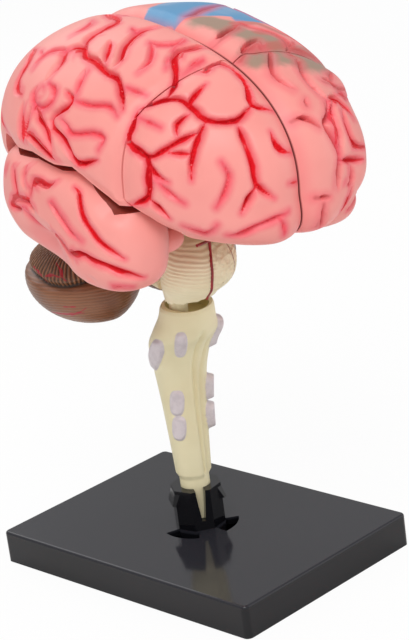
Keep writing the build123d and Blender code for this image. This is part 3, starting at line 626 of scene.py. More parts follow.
def edgeGap(points, lines):  # distance in the side view to the parting lines
    best = np.full(len(points), outOfReach)
    flat = np.column_stack([np.zeros(len(points)), points[:, 1:]])
    for line in lines:
        path = np.column_stack([np.zeros(len(line)), np.array(line, float)])
        best = np.minimum(best, lineGap(flat, path)[0])
    return best


def lineOnMap(path, surface, pitch=3.0):
    places = smoothLine(path, pitch)
    return surface(sideDirection(places[:, 0], places[:, 1]))


def mounds(smooth, surface, spots):  # soft rounds on the form, from their map place, height and reach
    for (u, v), height, reach in spots:
        centre = surface(sideDirection(np.array([u]), np.array([v])))[0]
        yield height * np.exp(-(np.linalg.norm(smooth - centre, axis=1) / reach) ** 2)


def insideGap(spots, outline):  # signed distance to an outline on the map, negative inside
    rows = np.array(outline, float)
    best, crossings = np.full(len(spots), 1e9), np.zeros(len(spots), int)
    for start, end in zip(rows, np.roll(rows, -1, axis=0)):
        run = end - start
        share = np.clip((spots - start) @ run / (run @ run), 0, 1)
        best = np.minimum(best, np.linalg.norm(spots - start - share[:, None] * run, axis=1))
        spans = (start[1] > spots[:, 1]) != (end[1] > spots[:, 1])
        rise = end[1] - start[1] if end[1] != start[1] else 1e-9
        crossings += spans & (spots[:, 0] < start[0] + (spots[:, 1] - start[1]) * run[0] / rise)
    return np.where(crossings % 2 == 1, -best, best)


def awayFromPole(direction):  # degrees from the side pole
    return np.degrees(np.arccos(np.clip(-direction[:, 0], -1, 1)))


def patchFields(smooth, direction):  # signed distance to each painted area of the left side
    away, around = awayFromPole(direction), np.arctan2(direction[:, 2], direction[:, 1])
    spots = np.column_stack([away * np.cos(around), away * np.sin(around)])
    fields = {"blue": 0.75 * insideGap(spots, leftPatches["blue"]["outline"])}
    for name in ("taupe", "brick"):
        lines = [lineOnMap(path, cerebrumSurface) for path in leftPatches[name]["lines"]]
        gaps = [lineGap(smooth, line, 14.0)[0] for line in lines]
        fields[name] = np.min(gaps, axis=0) - leftPatches[name]["width"]
    return fields


def lobeFields(points, side, kind):  # the smooth form, and depth and paint, at each point of a lobe
    if kind == "temporal":
        untilt = np.array(Matrix.Rotation(-math.radians(temporal["tilt"]), 3, "X"))
        local, eye = (points - temporal["middle"]) @ untilt.T, (readPoint - temporal["middle"]) @ untilt.T
        surface, groups = temporalSurface, [("deep", temporalGrooves), ("soft", temporalSoft)]
    else:
        local, surface, eye = points, cerebrumSurface, readPoint
        groups = [("deep", deepGrooves), ("soft", softGrooves)]
        if side == "left":
            def behind(paths):  # the right side's grooves that lie behind the strip and below it
                return {name: path for name, path in paths.items() if name in leftKept
                        or (min(u for u, v in path) > -38 and max(v for u, v in path) <= 50)}
            eye = readPoint * (-1, 1, 1)
            groups = [("deep", {**behind(deepGrooves), **leftDeep}), ("plain", leftPlain),
                      ("soft", behind(softGrooves))]
    direction = unit(local)
    smooth = surface(direction)
    outward = np.clip(-direction[:, 0] * 6, 0, 1)
    sunk, paint = grooveFields(smooth, surface, groups, eye)
    fields = {"red": paint["deep"], "blush": paint["soft"], "crease": paint["plain"]}
    if kind == "temporal":
        sunk = np.where(sunk > 0, sunk * np.clip(0.5 - direction[:, 0] * 3, 0, 1), sunk)
        for dent in mounds(smooth, surface, temporalDents):
            sunk += dent
        gap = edgeGap(points, [parting["sylvian"]])
        low = parting["lipDip"] * np.exp(-(gap / parting["lipReach"]) ** 2)
        sunk = np.maximum(sunk, low * outward)
        fields.update({name: np.full(len(points), outOfReach) for name in ("rim", "blue", "taupe", "brick")})
    else:
        edge = (awayFromPole(direction) - 90 + cerebrum["edgeBand"]) / cerebrum["edgeBand"]
        sunk = np.maximum(sunk, cerebrum["edgeDip"] * np.clip(edge, 0, 1) ** 2)
        gap = edgeGap(smooth, [parting["frontalSeam"] + [(-29, 60)], parting["sylvian"]])
        low = np.exp(-(gap / parting["edgeReach"]) ** 2) * outward
        sunk = np.maximum(sunk, parting["edgeDip"] * low)
        fields["rim"] = np.abs(points[:, 0])
        if side == "left":
            for knob in mounds(smooth, surface, leftKnobs):
                sunk -= knob
            fields.update(patchFields(smooth, direction))
    fields["sunk"] = sunk
    return direction, smooth, fields


def relieved(points, side, kind):  # points of the smooth form, moved to the relief, about the form's middle
    direction, smooth, fields = lobeFields(points, side, kind)
    return direction * (np.linalg.norm(smooth, axis=1) - fields["sunk"])[:, None]


def tilted(points):
    tilt = math.radians(temporal["tilt"])
    y, z = points[:, 1], points[:, 2]
    turnedUp = np.column_stack([points[:, 0], y * math.cos(tilt) - z * math.sin(tilt),
                                y * math.sin(tilt) + z * math.cos(tilt)])
    return turnedUp + temporal["middle"]


def cerebrumBody(side, materials):
    grid, faces = discGrid(cerebrum["rings"])
    rim = len(grid) - 6 * cerebrum["rings"]  # the outermost ring lies on the middle plane
    direction = sideDirection(grid[:, 0], grid[:, 1])
    direction[rim:, 0] = 0
    points = relieved(cerebrumSurface(direction), side, "cerebrum")
    faces.append(tuple(reversed(range(rim, len(points)))))
    made = newObject("hemisphere", points, faces, materials)
    halfSpace = block((-far, -3 * far, -3 * far), (-cerebrum["gap"] / 2, 3 * far, 3 * far))
    return carve(made, [halfSpace], "INTERSECT")


def temporalBody(materials):
    rings = temporal["rings"]
    grid, faces = discGrid(rings)
    around = 6 * rings
    turn = 2 * np.pi * np.arange(around) / around
    for reach in temporal["innerRings"]:
        start = len(grid)
        grid = np.vstack([grid, np.column_stack([reach * np.cos(turn), reach * np.sin(turn)])])
        for step in range(around):
            after = (step + 1) % around
            faces.append((start - around + step, start + step, start + after, start - around + after))
    faces.append(tuple(reversed(range(len(grid) - around, len(grid)))))
    local = temporalSurface(sideDirection(grid[:, 0], grid[:, 1]))
    return newObject("temporalBody", tilted(relieved(tilted(local), "right", "temporal")), faces, materials)


def copyOf(made, name):
    twin = made.copy()
    twin.data = made.data.copy()
    twin.name = name
    bpy.context.scene.collection.objects.link(twin)
    return twin


def nameBody(made, name):
    made.name = made.data.name = name


def turnOver(made, side):  # a left piece is made on the right, mirrored, and then both stand up
    points = meshPoints(made)
    if side == "left":
        points[:, 0] *= -1
        made.data.flip_normals()
    setPoints(made, standUp(points))


def finishLobe(made, name, side, kind, body):
    for field, values in lobeFields(meshPoints(made), side, kind)[2].items():
        keepValue(made, field, values)
    nameBody(made, name + "_" + side)
    turnOver(made, side)
    return dress(made, f"{body}_lobe_{side}", f"{body}_{side}")


# The colours for the fissure seam, the unpainted creases and the Sylvian recess are painted shade; the pale
# blotches on the blue are painted highlight.
cortexLook = {
    "pink": srgb(247, 157, 149), "flush": srgb(236, 136, 129), "red": srgb(232, 34, 46),
    "deepRed": srgb(196, 22, 34), "rose": srgb(240, 82, 104), "seam": srgb(120, 40, 36),
    "crease": srgb(196, 70, 68), "blue": srgb(84, 150, 196), "blueHighlight": srgb(140, 172, 206),
    "taupe": srgb(152, 134, 114), "brick": srgb(196, 104, 92),
    "inside": srgb(206, 110, 100), "deepInside": srgb(180, 84, 76),
    "recessShade": srgb(158, 62, 48), "deepRecessShade": srgb(112, 40, 32),
}


def cortexOuter(name, painted):
    look = cortexLook
    paint = Paint(name, Specular_IOR_Level=0.42)
    mottle = paint.noise(55.0, 2.0)
    fine = paint.noise(420.0)
    red = paint.measure("red") + (fine - 0.5) * 0.5
    blush = paint.measure("blush") + (paint.noise(180.0) - 0.5) * 0.9
    sunk = paint.measure("sunk")
    base = paint.mix(mottle.between(0.35, 0.7) * 0.35, look["pink"], look["flush"])
    if painted:  # sprayed areas, ragged at their edges
        ragged = (paint.noise(90.0) - 0.5) * 5.0 + (paint.noise(420.0) - 0.5) * 2.0
        blue = 1 - (paint.measure("blue") + ragged).between(-0.8, 0.8)
        taupe = 1 - (paint.measure("taupe") + ragged).between(-2.2, 1.4)
        brick = 1 - (paint.measure("brick") + ragged * 0.5).between(-0.8, 1.0)
        base = paint.mix(taupe * 0.9, base, look["taupe"])
        base = paint.mix(brick * 0.75, base, look["brick"])
        # the sprayed blue, with pale blotches in it that are painted highlight
        base = paint.mix(blue, base, paint.mix(mottle.between(0.45, 0.75), look["blue"], look["blueHighlight"]))
    # painted shade: the pink turns rose where the relief sinks towards the grooves
    base = paint.mix(sunk.between(0.6, 2.6) * 0.22, base, look["rose"])
    base = paint.mix((1 - blush.between(-0.5, 2.3)) * 0.85, base, look["rose"])
    base = paint.mix((1 - blush.between(-0.6, 0.5)) * 0.6, base, look["red"])
    base = paint.mix((1 - red.between(-0.2, 1.9)) * 0.7, base, look["rose"])
    crisp = 1 - red.between(-0.12, 0.2)
    line = paint.mix(mottle.between(0.4, 0.65) * 0.5, look["red"], look["deepRed"])
    base = paint.mix(crisp, base, line)
    if painted:
        # painted shade along the deep unpainted creases: a broad rose band and a red-brown core
        base = paint.mix((1 - paint.measure("crease").between(0.0, 3.2)) * 0.5, base, look["rose"])
        base = paint.mix((1 - paint.measure("crease").between(0.0, 1.0)) * 0.6, base, look["crease"])
    # painted shade: dark red-brown along the fissure between the hemispheres
    base = paint.mix((1 - paint.measure("rim").between(0.2, 0.5)) * 0.7, base, look["seam"])
    rough = 0.40 + 0.08 * mottle - 0.06 * crisp
    bump = paint.bump(fine * 0.5 + mottle, 0.00012, 0.35)
    return paint.finish(Base_Color=base, Roughness=rough, Normal=bump)


def cortexInner(name, light, dark):
    paint = Paint(name)
    mottle = paint.noise(60.0)
    base = paint.mix(mottle.between(0.3, 0.75) * 0.6, light, dark)
    return paint.finish(Base_Color=base, Roughness=0.46 + 0.1 * mottle,
                        Normal=paint.bump(paint.noise(700.0), 0.0001, 0.3))


inner = cortexInner("lobeInside", cortexLook["inside"], cortexLook["deepInside"])
# painted shade: the darker red-brown of the cut walls in the Sylvian gap
recessShade = cortexInner("lobeRecess", cortexLook["recessShade"], cortexLook["deepRecessShade"])
outer = {"right": cortexOuter("cortexRight", False), "left": cortexOuter("cortexLeft", True)}
lobeNames = {"frontal": "frontalCortex", "parieto_occipital": "parietalCortex", "temporal": "temporalCortex"}

for side in ("right", "left"):
    shell = [outer[side], inner]
    whole = cerebrumBody(side, shell)
    frontal = copyOf(whole, "frontal")
    below = prism(grow(temporalOutline, -parting["sylvianGap"]), 1, far)
    # the walls cut over the temporal lobe take this painted shade finish
    below.data.materials.append(recessShade)
    temple = carve(temporalBody(shell), [below], "INTERSECT")
    knob = roundBody("knob", temporal["knob"]["middle"], temporal["knob"]["half"], [outer[side]])
    lobes = {
        "frontal": carve(carve(frontal, [prism(frontalOutline, -1, far)], "INTERSECT"),
                         [prism(temporalOutline, -1, far)] + coreRoom()),
        "parieto_occipital": carve(whole, [prism(grow(frontalOutline, parting["seamGap"]), -1, far),
                                           prism(temporalOutline, -1, far)] + coreRoom()),
        "temporal": carve(carve(temple, [knob], "UNION"), coreRoom()),
    }
    for kind, lobe in lobes.items():
        form = "temporal" if kind == "temporal" else "cerebrum"
        finishLobe(lobe, lobeNames[kind], side, form, kind)
        print("lobe:", kind, side, len(lobe.data.polygons), "faces")


# Ridges that follow a value kept at the points: the cerebellum and the pons share one tree.
def ridgeTree():
    tree = Shaping("ridges", {"Depth": 0.3, "Narrowness": 4.0, "Wander": 0.3, "Grain": 0.2, "Seed": 1.0})
    course = tree.kept("course") + (tree.grain() - 0.5) * tree.given("Wander")
    furrow = abs((course * math.pi).cosine()) ** tree.given("Narrowness")
    held = furrow * tree.kept("hold")
    push = tree.add("ShaderNodeVectorMath", {"operation": "SCALE"},
                    {0: tree.add("GeometryNodeInputNormal"), "Scale": held * tree.given("Depth") * -1.0})
    stored = tree.add("GeometryNodeStoreNamedAttribute", {"data_type": "FLOAT", "domain": "POINT"},
                      {"Geometry": tree.given("Geometry"), "Name": "furrow", "Value": held})
    return tree.finish(tree.add("GeometryNodeSetPosition", None, {"Geometry": stored, "Offset": push}))


# A thin raised line along a path, uneven like a brushed-on vessel.
def vesselTree():
    tree = Shaping("vessels", {"Thickness": 0.5, "Unevenness": 0.6, "Grain": 0.6, "Seed": 3.0})
    course = tree.add("GeometryNodeMeshToCurve", None, {"Mesh": tree.given("Geometry")})
    swell = tree.add("ShaderNodeMapRange", None,
                     {"Value": tree.grain(), "From Min": 0.3, "From Max": 0.7,
                      "To Min": 1.0 - tree.given("Unevenness"), "To Max": 1.0})
    course = tree.add("GeometryNodeSetCurveRadius", None, {"Curve": course, "Radius": swell})
    ring = tree.add("GeometryNodeCurvePrimitiveCircle", None,
                    {"Resolution": 10, "Radius": tree.given("Thickness")})
    return tree.finish(tree.add("GeometryNodeCurveToMesh", None,
                                {"Curve": course, "Profile Curve": ring, "Fill Caps": True}))


def runTree(made, tree, values):  # the tree's result becomes the object's own plain mesh
    modifier = made.modifiers.new(tree.name, "NODES")
    modifier.node_group = tree
    for item in tree.interface.items_tree:
        if item.in_out == "INPUT" and item.name in values:
            modifier[item.identifier] = values[item.name]
    graph = bpy.context.evaluated_depsgraph_get()
    shaped = bpy.data.meshes.new_from_object(made.evaluated_get(graph), preserve_all_data_layers=True,
                                             depsgraph=graph)
    made.modifiers.clear()
    old, made.data = made.data, shaped
    bpy.data.meshes.remove(old)
    return made


cerebellum = {
    "middle": (-15.5, 28.0, -46.3), "half": (16.6, 20.7, 12.2), "gap": 0.25,
    "vermis": {"rise": 6.0, "reach": 12}, "around": 300, "rows": 170, "lastRow": 89.4,
    "hole": {"start": (-6.5, 2.0, -43.0), "radius": 1.7, "length": 15.1},
    "folia": {"Depth": 0.36, "Narrowness": 3.0, "Wander": 1.1, "Grain": 0.16},
    "upper": {"count": 78, "lean": 0.035, "fadeFrom": 78, "fadeOver": 30},  # fanned out above the fissure
    "lower": {"count": 24.0, "span": 22, "lean": 0.18, "hold": 0.3},  # level below it
    "fissure": {"depth": 1.8, "reach": 1.2},
    "flank": {"way": (-0.64, 0.72, -0.26), "from": 0.45, "over": 0.5, "depth": 2.2},
    "vessel": {"width": 0.42, "swell": 0.16, "beat": 2.1, "tip": 0.1, "run": 5},
    # its furrow and fissure colours are painted shade in those grooves
    "look": {"brown": srgb(148, 98, 68), "deepBrown": srgb(112, 68, 44), "upper": srgb(166, 118, 84),
             "deepUpper": srgb(128, 84, 56), "furrow": srgb(62, 42, 30), "fissure": srgb(44, 28, 20),
             "vessel": srgb(168, 34, 46)},
}
# Lines on the cerebellum, in degrees round it and above its middle.
cerebellumFissure = [(120, 17), (140, 16), (153, 15), (174, 16), (187, 14), (196, 14), (212, 17), (226, 23),
                     (244, 29), (262, 33)]
cerebellumVessels = {
    "rear": [(162, 27), (177, 23), (187, 14)],
    "bow": [(188, 15), (186, 23), (195, 29), (205, 29)],
    "branch": [(191, 45), (202, 38), (207, 30), (214, 24)],
    "lowShort": [(209, -10), (221, -7)],
    "lowLong": [(178, -37), (208, -24), (229, -16)],
    "lowFork": [(213, -27), (225, -15), (231, -7)],
}


def vermisLift(aside):  # how far the middle of the top stands above the plain form
    vermis = cerebellum["vermis"]
    return vermis["rise"] * np.exp(-((aside - cerebellum["half"][0]) / vermis["reach"]) ** 2)


def cerebellumForm(turn, level):  # degrees to a point of the smooth form
    c = cerebellum
    a, b = np.radians(turn), np.radians(level)
    spots = np.stack([np.cos(b) * np.cos(a), np.cos(b) * np.sin(a), np.sin(b)], -1) * c["half"]
    spots[..., 2] += vermisLift(spots[..., 0]) * np.clip(spots[..., 2] / c["half"][2], 0, 1)
    return spots + c["middle"]


def cerebellumMap(points):  # and back again
    spots = points - cerebellum["middle"]
    raised = spots[:, 2] / (1 + vermisLift(spots[:, 0]) / cerebellum["half"][2])
    spots[:, 2] = np.where(spots[:, 2] > 0, raised, spots[:, 2])
    way = spots / cerebellum["half"]
    size = np.linalg.norm(way, axis=1)
    level = np.degrees(np.arcsin(np.clip(way[:, 2] / size, -1, 1)))
    return np.degrees(np.arctan2(way[:, 1], way[:, 0])) % 360, level, size


def cerebellumLine(path):
    places = smoothLine(path, 2.0)
    return cerebellumForm(places[:, 0], places[:, 1])


def makeCerebellum(side, coat):
    c = cerebellum
    turn = 360 * np.arange(c["around"]) / c["around"]
    rounds = [cerebellumForm(turn, np.full(c["around"], level))
              for level in np.linspace(-c["lastRow"], c["lastRow"], c["rows"])]
    hole = rod(c["hole"]["start"], (0, 1, 0), c["hole"]["radius"], c["hole"]["length"])
    rightSide = block((-60, -20, -90), (-c["gap"], 80, 0))
    made = carve(carve(skinOver("cerebellumBody", rounds), [rightSide], "INTERSECT"), [hole])
    points = meshPoints(made)
    turn, level, size = cerebellumMap(points)
    smooth = cerebellumForm(turn, level)
    split = lineGap(smooth, cerebellumLine(cerebellumFissure), 8.0)[0]
    above = eased((level - np.interp(turn, *zip(*cerebellumFissure))) / 4 + 0.5)
    outside = np.clip((size - 0.975) / 0.02, 0, 1) * np.clip((-points[:, 0] - 0.3) / 0.8, 0, 1)
    upper, lower = c["upper"], c["lower"]
    fan = turn * upper["count"] / 360 + level * upper["lean"]
    arcs = (points[:, 2] + lower["lean"] * points[:, 1]) * lower["count"] / lower["span"]
    keepValue(made, "course", np.where(above > 0.5, fan, arcs))
    fading = np.clip((upper["fadeFrom"] - level) / upper["fadeOver"], 0, 1)
    keepValue(made, "hold", outside * np.where(above > 0.5, above * fading, lower["hold"] * (1 - above)))
    keepValue(made, "above", above)
    keepValue(made, "split", split)
    v, brushed = c["vessel"], []
    for path in cerebellumVessels.values():
        gap, ends, worth = lineGap(smooth, cerebellumLine(path), 6.0)
        width = v["width"] + v["swell"] * np.sin(ends * v["beat"])
        brushed.append(gap - np.clip(v["tip"] + ends / v["run"], 0, 1) * width)
    keepValue(made, "vessel", np.min(brushed, axis=0))
    sink = c["fissure"]["depth"] * np.exp(-(split / c["fissure"]["reach"]) ** 2) * outside
    inward = unit(np.array(c["middle"]) - points)
    flank = c["flank"]
    sink += flank["depth"] * eased((inward @ np.array(flank["way"]) - flank["from"]) / flank["over"])
    setPoints(made, points + inward * sink[:, None])
    runTree(made, ridges, {**c["folia"], "Seed": 2.0 if side == "right" else 5.0, "Finish": coat})
    turnOver(made, side)
    nameBody(made, "cerebellumFolia_" + side)
    return dress(made, "cerebellum_" + side, "cerebellum_" + side, 50.0)


def cerebellumCoat():
    paint, look = Paint("cerebellumBrown", Specular_IOR_Level=0.45), cerebellum["look"]
    mottle, fine = paint.noise(60.0), paint.noise(520.0)
    furrow, above = paint.measure("furrow"), paint.measure("above")
    base = paint.mix(mottle.between(0.3, 0.75), look["brown"], look["deepBrown"])
    light = paint.mix(fine.between(0.3, 0.8), look["upper"], look["deepUpper"])
    base = paint.mix(above.between(0.3, 0.7) * 0.6, base, light)
    # painted shade: darker brown in the furrows between the folia
    base = paint.mix((furrow * 1.6).between(0.1, 0.95) * 0.8, base, look["furrow"])
    # painted shade: near black along the horizontal fissure
    base = paint.mix((1 - paint.measure("split").between(0.1, 0.8)) * 0.9, base, look["fissure"])
    vessel = 1 - (paint.measure("vessel") + (fine - 0.5) * 0.5).between(-0.08, 0.16)
    base = paint.mix(vessel, base, look["vessel"])
    return paint.finish(Base_Color=base, Roughness=0.28 + 0.14 * mottle,
                        Normal=paint.bump(fine + mottle * 0.5, 0.00016, 0.5))


ridges = ridgeTree()
vessels = vesselTree()
brown = cerebellumCoat()
for side in ("right", "left"):
    print("cerebellum:", side, len(makeCerebellum(side, brown).data.polygons), "faces")


# Pons and medulla: height, half width, half depth, backward shift of each section
stemForm = {
    "sections": [(-48.6, 7.0, 5.6, -1.2), (-45.0, 8.4, 6.9, -2.8), (-41.0, 10.6, 8.6, -5.6),
                 (-37.0, 11.4, 9.3, -6.8), (-32.0, 11.2, 9.2, -6.6), (-27.5, 9.4, 7.6, -4.4),
                 (-23.0, 6.7, 6.2, -0.4), (-10.3, 5.9, 5.6, 1.0)],
    "rows": 150, "around": 176, "frontRise": 2.2, "pitch": 1.25, "bend": 1.4,
    "ragged": 0.7, "waves": ((0.5, 3, 0.6), (0.3, 11, 0.0), (0.35, 23, 2.0)),  # height, number and shift
    "ridge": {"Depth": 0.22, "Narrowness": 2.0, "Wander": 1.5, "Grain": 0.16},
    "hold": {"right": 1.0, "left": 0.35, "from": -47, "over": 9, "least": 0.25},
    "tenon": ((-6.3, -5.5, -12.0), (6.3, 7.5, -7.6)),
    "peduncle": {"start": (-6.5, 2.0, -43.0), "way": (0, 1, 0), "radius": 1.6, "length": 14.5},
    "crossPeg": {"start": (-5.0, 1.0, -10.4), "way": (-1, 0, 0), "radius": 1.5, "length": 5.8},
    "pin": {"start": (-2.9, 0.0, -46.6), "way": (0, 0, -1), "radius": 2.7, "length": 11.0},
    # the upper and furrow colours are painted shade
    "look": {"cream": srgb(250, 238, 204), "deepCream": srgb(242, 226, 188), "upper": srgb(232, 204, 168),
             "furrow": srgb(206, 166, 130), "pit": srgb(120, 80, 60), "lowRed": srgb(176, 84, 78),
             "strand": srgb(150, 70, 56)},
    "strands": ((232.0, 1.6), (212.0, 1.4)),  # degrees round the left half, and width
}


def sectionAt(sections, height):  # half width, half depth and shift at each height, on smooth curves
    rows = np.array(sorted(sections), float)
    dense = smoothLine(rows, 0.5)
    order = np.argsort(dense[:, 0])
    return [np.interp(height, dense[order, 0], dense[order, column]) for column in (1, 2, 3)]


def makeBrainStem(side, coat):
    s = stemForm
    turn = 2 * np.pi * np.arange(s["around"]) / s["around"]
    low, high = s["sections"][0][0], s["sections"][-1][0]
    edge = s["ragged"] * sum(rise * np.sin(number * turn + shift) for rise, number, shift in s["waves"])
    edge += s["frontRise"] * eased(0.6 - 0.6 * np.sin(turn))
    rounds = []
    for share in np.linspace(0, 1, s["rows"]):
        height = low + (high - low) * share + edge * (1 - share) ** 6
        width, depth, shift = sectionAt(s["sections"], height)
        rounds.append(np.column_stack([width * np.cos(turn), shift + depth * np.sin(turn), height]))
    made = carve(skinOver("brainStemBody", rounds), [block(*s["tenon"])], "UNION")
    made = carve(made, [block((-60, -60, -90), (0, 60, 20))], "INTERSECT")
    for name in ("peduncle", "crossPeg") + (("pin",) if side == "right" else ()):
        peg = s[name]
        made = carve(made, [rod(peg["start"], peg["way"], peg["radius"], peg["length"])], "UNION")
    points = meshPoints(made)
    width, depth, shift = sectionAt(s["sections"], points[:, 2])
    across, along = points[:, 0] / width, (points[:, 1] - shift) / depth
    size = np.hypot(across, along)
    outside = np.clip((size - 0.97) / 0.025, 0, 1) * np.clip((1.03 - size) / 0.02, 0, 1)
    outside *= np.clip((-points[:, 0] - 0.1) / 0.8, 0, 1) * np.clip((-24 - points[:, 2]) / 4, 0, 1)
    turn, hold = np.degrees(np.arctan2(along, across)) % 360, s["hold"]
    bend = s["bend"] * np.cos(np.radians(turn - 270))
    keepValue(made, "course", (points[:, 2] + bend) / s["pitch"])
    fade = np.clip((points[:, 2] - hold["from"]) / hold["over"], hold["least"], 1)
    keepValue(made, "hold", outside * fade * hold[side])
    keepValue(made, "height", points[:, 2])
    keepValue(made, "turn", turn)
    runTree(made, ridges, {**s["ridge"], "Seed": 7.0 if side == "right" else 9.0, "Finish": coat})
    turnOver(made, side)
    nameBody(made, "ponsHalf_" + side)
    return dress(made, "brain_stem_" + side, "brain_stem", 38.0)


def ponsCoat(name, granular):
    paint, look = Paint(name, Specular_IOR_Level=0.4), stemForm["look"]
    mottle, fine = paint.noise(70.0), paint.noise(600.0)
    height, furrow = paint.measure("height"), paint.measure("furrow")
    base = paint.mix(mottle.between(0.3, 0.7), look["cream"], look["deepCream"])
    # painted shade: the upper part browner, and browner still in the furrows between its ridges
    shade = (height + (mottle - 0.5) * 10).between(-40.0, -29.0)
    base = paint.mix(shade * 0.35, base, look["upper"])
    base = paint.mix(furrow.between(0.2, 1.0) * (0.06 + 0.3 * shade), base, look["furrow"])
    if granular:
        pits = 1 - paint.spots(420.0).between(0.10, 0.22)
        base = paint.mix(pits * fine.between(0.5, 0.7) * 0.8, base, look["pit"])
        turn = paint.measure("turn")
        lowRed = 1 - ((height + 45.5) ** 2.0 * 0.25 + (turn - 222) ** 2.0 * 0.012).between(0.5, 1.2)
        base = paint.mix(lowRed * 0.8, base, look["lowRed"])
        for place, width in stemForm["strands"]:
            wander = (paint.noise(160.0) - 0.5) * 14.0
            strand = 1 - ((turn + wander - place) ** 2.0).between(0.1 * width, 2.2 * width)
            base = paint.mix(strand * height.between(-44.0, -38.0) * 0.75, base, look["strand"])
        bump = paint.bump(fine * 0.8 + mottle + paint.spots(520.0) * 1.4, 0.0006, 0.8)
    else:
        bump = paint.bump(fine * 0.3 + mottle, 0.00012, 0.6)
    return paint.finish(Base_Color=base, Roughness=0.42 + 0.12 * mottle, Normal=bump)


for side in ("right", "left"):
    made = makeBrainStem(side, ponsCoat("pons_" + side, side == "left"))
    print("brain stem:", side, len(made.data.polygons), "faces")


arteries = {
    "sizes": {"Thickness": 0.42, "Unevenness": 0.55, "Grain": 0.35, "Seed": 4.0}, "pitch": 0.45,
    "ring": {"middle": (-17.5, -22.5), "radius": 5.0}, "forward": 0.15, "waver": 0.2,
    "spine": [(-46.3, 1.4), (-44.0, 0.5), (-41.0, -0.9), (-38.0, -1.6), (-35.0, -1.8), (-32.0, -1.4),
              (-29.5, -0.6)],  # height and sideways shift
    "top": [(0.3, -12.6, -26.0), (0, -13.2, -24.0)],
    "branches": [[(3.6, -14.2, -22.5), (7.0, -12.6, -22.6), (11, -10, -22.0)],
                 [(3.4, -21, -22.5), (7.4, -22.2, -22.2), (11.5, -24, -21.5)],
                 [(1.2, -22.3, -22.5), (1.3, -26.0, -22.0), (1.8, -30, -21.0)]],
    "look": {"red": srgb(168, 36, 42), "deepRed": srgb(116, 28, 30)},
}


def arteryCoat():
    paint, look = Paint("arteryRed"), arteries["look"]
    fine = paint.noise(420.0)
    base = paint.mix(fine.between(0.3, 0.7), look["red"], look["deepRed"])
    return paint.finish(Base_Color=base, Roughness=0.34 + 0.2 * fine,
                        Normal=paint.bump(fine, 0.0002, 0.5))


def makeArteries():
    a = arteries
    levels = np.array([height for height, aside in a["spine"]])
    width, depth, shift = sectionAt(stemForm["sections"], levels)
    paths = [[(aside + a["waver"] * math.sin(z), y + a["forward"], z)
              for y, (z, aside) in zip(shift - depth, a["spine"])] + a["top"]]
    middleY, middleZ = a["ring"]["middle"]
    turn = np.radians(np.arange(-90, 271, 12))
    paths.append([(a["ring"]["radius"] * math.cos(t), middleY + a["ring"]["radius"] * math.sin(t), middleZ)
                  for t in turn])
    for branch in a["branches"]:
        paths += [[(side * x, y, z) for x, y, z in branch] for side in (-1, 1)]
    points, edges = [], []
    for path in paths:
        line = smoothLine(path, a["pitch"])
        edges += [(len(points) + step, len(points) + step + 1) for step in range(len(line) - 1)]
        points += list(line)
    made = newObject("arterialCircle", points, [], edges=edges)
    runTree(made, vessels, {**a["sizes"], "Finish": arteryCoat()})
    nameBody(made, "arterialCircle")
    setPoints(made, standUp(meshPoints(made)))
    return dress(made, "arterial_circle", "brain_stem", 60.0)


print("arteries:", len(makeArteries().data.polygons), "faces")


# Spinal stem from the straight spigot to the open cup: height, half width, half depth, backward shift
spine = {
    "sections": [(-50.0, 8.0, 6.9, 0.0), (-54.0, 8.6, 7.3, 0.4), (-59.0, 10.0, 7.8, 2.0),
                 (-64.0, 9.7, 7.6, 4.7), (-72.0, 8.1, 6.8, 5.3), (-83.0, 6.8, 5.9, 4.5),
                 (-95.0, 6.0, 5.3, 3.0), (-104.5, 5.4, 5.0, 1.9)],
    "around": 168, "rows": 250, "rim": {"rows": 5, "round": 0.3},
    "spigot": {"radius": 4.4, "low": 3.6, "high": 25.5, "rows": 30,
               "tip": ((0.86, 0.0), (0.97, 0.4), (1.0, 1.0))},  # share of the radius, and height
    "cup": {"place": (0, 0, -53.0), "radius": 6.3, "sides": 96},
    "pinHole": {"place": (-2.9, 0.0, -58.2), "radius": 2.8, "sides": 64},
    # height, angle, half height, half width, rise and slant of each raised pad
    "pads": [(-61.5, 335, 5.2, 3.0, 1.9, 0.0), (-65.0, 188, 6.3, 2.7, 0.8, 0.5),
             (-60.5, 238, 4.9, 1.9, 0.7, 0.0), (-80.6, 223, 4.3, 2.2, 0.7, 0.05),
             (-88.8, 217, 4.1, 2.2, 0.7, 0.05), (-79.3, 330, 4.3, 2.4, 2.2, 0.0),
             (-88.0, 330, 4.5, 2.4, 2.2, 0.0)],
    "grooves": [{"line": [(-56.5, 276), (-70.0, 272), (-90.0, 280), (-104.0, 286)],  # height and angle
                 "depth": 1.2, "reach": 0.9},
                {"line": [(-60.0, 300), (-72.0, 292), (-104.0, 306)], "depth": 1.0, "reach": 0.8}],
    # the cup colours are painted shade inside the hollows
    "look": {"cream": srgb(246, 236, 196), "deepCream": srgb(238, 226, 184), "pad": srgb(226, 216, 218),
             "deepPad": srgb(214, 203, 206), "cup": srgb(236, 224, 168), "deepCupShade": srgb(218, 204, 142)},
}


def sitDown(points):  # the other way round from standUp, with millimetres on both sides
    return (np.asarray(points, float) - (0, 0, stance["height"])) @ turned - stance["middle"]


